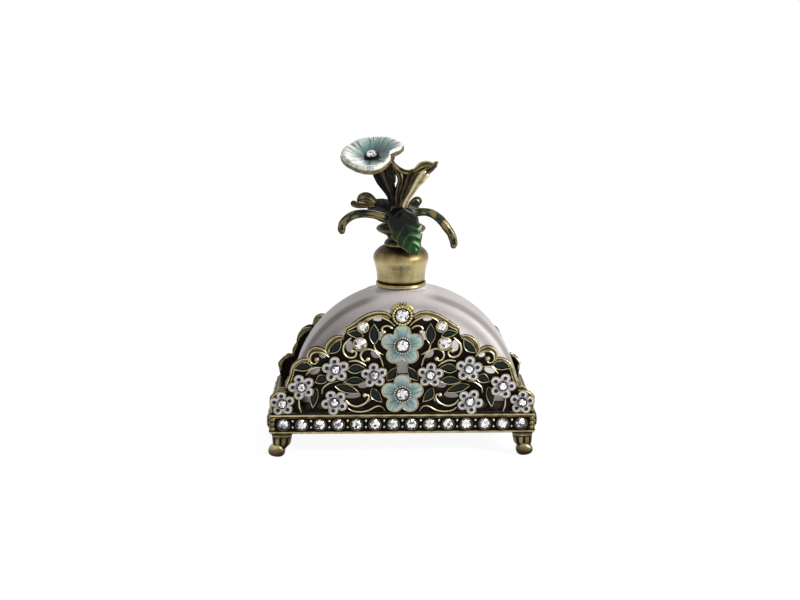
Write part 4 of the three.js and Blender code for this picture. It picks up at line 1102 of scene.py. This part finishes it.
def build_finial_flower():
    centre, facing, up = np.array([-9.2, 0, CAP_TOP + 21.5]), (-0.12, -0.37, 0.92), (0, 1, 0.6)
    angle = full_turn(160)
    known = np.array(FLOWER_RIM)
    around = np.radians(np.concatenate([known[:, 0] - 360, known[:, 0], known[:, 0] + 360]))
    spread = np.exp(-0.5 * np.linspace(-2, 2, 5) ** 2)

    def rim_of(column):
        """A column of the rim's table, read all round and softened."""
        row = np.interp(angle, around, np.tile(known[:, column], 3))
        return np.convolve(np.concatenate([row[-2:], row, row[:2]]), spread / spread.sum(), "valid")

    edge, lift = rim_of(1), rim_of(2)
    which = np.searchsorted(FLOWER_FOLDS, np.degrees(angle), "right") - 1
    start = FLOWER_FOLDS[which]
    width = np.append(FLOWER_FOLDS, 404)[which + 1] - start
    side = np.abs((np.degrees(angle) - start) / width - 0.5) * 2
    shade = 0.3 * np.cos(angle - np.radians(325)) - 0.02

    def bowl(steps):
        """Rings of share s: the distance is s (9.5 + (edge - 9.5) s^2), the height is the rim's times s^2."""
        steps = np.asarray(steps, float)
        share, high = steps[:, :1], steps[:, 1:]
        inside = np.clip(share, 0, 1)
        reach = share * (9.5 + (edge - 9.5) * inside**2)
        height = lift * share**2 + high - 0.35 * side**6 * share * (1 - share) * 3
        points = np.stack([-reach * np.sin(angle), reach * np.cos(angle), height], -1)
        marks = marks_for(points, side, share - shade * np.sin(np.pi * inside), 0.1 + 0.5 * share)
        return placed(surface(points, marks), centre, facing, up)

    top = [(0, -0.6), (0.12, -0.6), (0.24, -0.55), (0.36, -0.45), (0.46, -0.3), (0.55, -0.1), (0.63, 0.1),
           (0.7, 0.35), (0.77, 0.6), (0.84, 0.75), (0.9, 0.75), (0.95, 0.6), (0.99, 0.25), (1, -0.15),
           (0.99, -0.5), (0.95, -0.75), (0.8, -1), (0.4, -1.4), (0, -1.5)]
    stopper_piece("finial_flower_enamel", [bowl(top)], CREAM, "finial_flower")
    below = [(0, -1), (0.5, -1), (0.9, -0.75), (0.97, -0.45), (1.01, -0.5), (1.03, -0.9), (1.01, -1.35),
             (1.02, -1.6), (0.97, -1.9), (0.85, -2.1), (0.6, -2.4), (0.42, -2.8), (0.28, -3.4), (0, -3.6)]
    stopper_piece("finial_flower_backing", [bowl(below)], OLIVE)
    setting = [cup(1.95, 0.5, 1.7), *bead_ring(0.36, 0.3, 2.15, 0, 16)]
    stopper_piece("finial_crystal_setting", [placed(shape, centre, facing, up) for shape in setting], DARK)
    jewel = placed(stone(1.68, 1.2), (0, 0, 0.15))
    stopper_piece("finial_crystal_stone", [placed(jewel, centre, facing, up)], CRYSTAL, "finial_crystal")


def build_finial_leaves():
    straps = {
        "left_front_leaf": (
            [(-1.6, -2.6, 1.6), (-4.4, -3.2, 1.9), (-7.1, -3.6, 3.0), (-11.0, -3.8, 3.7), (-14.3, -4.2, 3.5),
             (-16.5, -4.5, 2.5), (-18.1, -4.8, 1.0), (-18.7, -5.0, -0.8), (-18.6, -5.1, -1.6)],
            (1.2, 1.25, 1.2, 1.15, 1.2, 1.25, 1.15, 1.1, 0.9)),
        "right_front_leaf": (
            [(2.4, -2.2, 3.4), (5.4, -2.8, 3.9), (7.9, -3.0, 4.0), (10.1, -3.2, 3.3), (12.3, -3.5, 1.7),
             (14.4, -3.8, -0.9), (15.9, -4.0, -3.2), (16.6, -4.2, -5.6), (16.5, -4.2, -6.6)],
            (1.2, 1.2, 1.15, 1.2, 1.25, 1.25, 1.15, 1.1, 0.85))}
    for name, (line, radii) in straps.items():
        core, edges = strap_leaf(line, radii)
        stopper_piece(f"{name}_core", [core], MOTTLED, name)
        stopper_piece(f"{name}_rolled_edges", edges, OLIVE)

    blade = broad_leaf([(-1.6, 1.0, 2.4), (-3.4, 2.0, 3.0), (-5.9, 2.8, 4.0), (-8.4, 3.2, 4.8),
                        (-10.2, 3.3, 5.4)],
                       (4.6, 7.4, 7.8, 5.8, 3.2), -0.12, 0, veins=0.02)
    stopper_piece("left_back_leaf_blade", [blade], SHADE, "left_back_leaf")
    back, *lobes = [tube(above(line), radii, 32, 16, (0, -0.4, 1), ridges=4, depth=0.12, wear_and_shading=(-0.2, 0.75))
                    for line, radii in (
        ([(-7.6, 2.8, 6.4), (-8.9, 2.8, 7.7), (-10.2, 2.8, 8.5), (-11.7, 2.8, 8.6), (-13.0, 2.8, 7.9),
          (-13.4, 2.6, 6.9)], (0.4, 0.6, 0.8, 0.85, 0.8, 0.6)),
        ([(-8.6, 2.2, 6.0), (-9.8, 2.0, 6.8), (-11.2, 1.9, 7.3), (-12.6, 1.9, 7.1)], (0.7, 1.0, 1.05, 0.7)),
        ([(-8.8, 2.0, 5.2), (-10.4, 1.8, 5.4), (-12.2, 1.7, 5.4), (-13.8, 1.8, 5.5), (-14.9, 2.0, 5.9)],
         (0.7, 0.9, 0.95, 1.0, 1.1)))]
    stopper_piece("left_back_leaf_curled_back", [back], MOTTLED)
    stopper_piece("left_back_leaf_curled_lobes", lobes, OLIVE)
    small = broad_leaf([(1.8, 1.6, 3.2), (3.2, 2.6, 4.4), (4.6, 3.0, 5.4), (5.6, 3.2, 6.4)],
                       (3.6, 4.2, 3.2, 1.8), -0.2, 0, veins=0.02)
    stopper_piece("right_back_leaf_blade", [small], SHADE, "right_back_leaf")
    curl = tube(above([(2.7, 2.2, 5.6), (3.6, 2.3, 6.7), (4.8, 2.4, 7.5), (5.9, 2.4, 7.4), (6.3, 2.4, 6.5),
                       (5.8, 2.3, 5.6)]), (0.35, 0.42, 0.5, 0.5, 0.5, 0.4), 30, 12, (0, 1, 0), ridges=3,
                depth=0.1)
    stopper_piece("right_back_leaf_curl", [curl], OLIVE)
    broad = broad_leaf([(0.4, -3.0, 5.4), (0.3, -5.2, 4.1), (0.6, -7.2, 1.9), (1.6, -8.8, -0.7),
                        (2.5, -9.3, -2.8), (3.4, -9.5, -4.9), (4.3, -9.6, -6.9), (4.9, -9.6, -8.5)],
                       (6.6, 9.0, 10.4, 10.8, 9.6, 7.4, 4.2, 0.2), -0.2, 5, 72)
    stopper_piece("centre_front_leaf_blade", [broad], GREEN, "centre_front_leaf")


build_panel("front", 1)
build_panel("back", -1)
build_band("front", 2 * STAND_HALF, 14, BAND_FACE, (0, -1, 0))
build_band("back", 2 * STAND_HALF, 14, BAND_FACE, (0, 1, 0))
build_band("right", SIDE_LENGTH, 7, STAND_HALF, (1, 0, 0))
build_band("left", SIDE_LENGTH, 7, STAND_HALF, (-1, 0, 0))

# The front right toe is bent in by a millimetre
for depth_name, side_name, x, y, toe_place in (("front", "right", 1, 1, 38.3), ("front", "left", -1, 1, 39.3),
                                               ("back", "right", 1, -1, 39.3),
                                               ("back", "left", -1, -1, 39.3)):
    name = f"{depth_name}_{side_name}"
    piece(f"{name}_scroll_foot", [mirrored(shape, x, y) for shape in foot(toe_place)], OLIVE, f"{name}_foot",
          slot="dark_brass")
build_glass()
build_cap()
build_stem()
build_bud()
build_finial_flower()
build_finial_leaves()

for node, finish in (("base_tray", TRAY), ("stopper_plug", CORK), ("dipper_rod", GLASS)):
    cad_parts[node].data.materials.clear()
    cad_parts[node].data.materials.append(finish)


# Floor, world and lamps
def shown(nodes):
    """1 for rays from the camera and for mirrored and transmitted ones, and 0 for the rest."""
    path = nodes.node("LightPath").socket.node
    rays = [Value(nodes, path.outputs[name]) for name in ("Is Camera Ray", "Is Glossy Ray",
                                                          "Is Transmission Ray")]
    return nodes.maths("MINIMUM", rays[0] + rays[1] + rays[2], 1.0)


floor_mesh = bpy.data.meshes.new("floor")
floor_corners = [(x * FLOOR_HALF, y * FLOOR_HALF, 0) for x, y in ((-1, -1), (1, -1), (1, 1), (-1, 1))]
floor_mesh.from_pydata(floor_corners, [], [(0, 1, 2, 3)])
floor = bpy.data.objects.new("floor", floor_mesh)
bpy.context.scene.collection.objects.link(floor)
pale = Finish("pale_floor", Base_Color=paint(240, 240, 240), Roughness=0.8, Specular_IOR_Level=0.1)
glow = pale.node("Emission", None, {"Color": (1, 1, 1, 1), "Strength": FLOOR_GLOW})
mixed = pale.node("MixShader", None, {0: shown(pale) * 0.8, 1: Value(pale, pale.shader.outputs[0]), 2: glow})
pale.feed(pale.tree.nodes["Material Output"].inputs["Surface"], mixed)
floor_mesh.materials.append(pale.material)

world = bpy.data.worlds.new("studio")
bpy.context.scene.world = world
world.use_nodes = True
sky = Nodes(world.node_tree)
background = world.node_tree.nodes["Background"]
sky.feed(background.inputs["Color"], (1, 1, 1, 1))
sky.feed(background.inputs["Strength"], shown(sky) * (SKY_SEEN - SKY_LIGHT) + SKY_LIGHT)


def lamp(name, place, size, power):
    """A soft square lamp that faces the middle of the object."""
    data = bpy.data.lights.new(name, "AREA")
    data.size = size
    data.energy = power
    made = bpy.data.objects.new(name, data)
    made.location = place
    made.rotation_euler = (Vector((0, 0, 0.045)) - Vector(place)).to_track_quat("-Z", "Y").to_euler()
    bpy.context.scene.collection.objects.link(made)


lamp("key_lamp", (0.30, -0.152, 0.195), 0.14, 1.4)
lamp("fill_lamp", (-0.5, -0.6, 0.3), 0.5, 0.35)
lamp("rim_lamp", (0.1, 0.6, 0.5), 0.4, 1.0)

bpy.context.scene.view_settings.view_transform = "Standard"
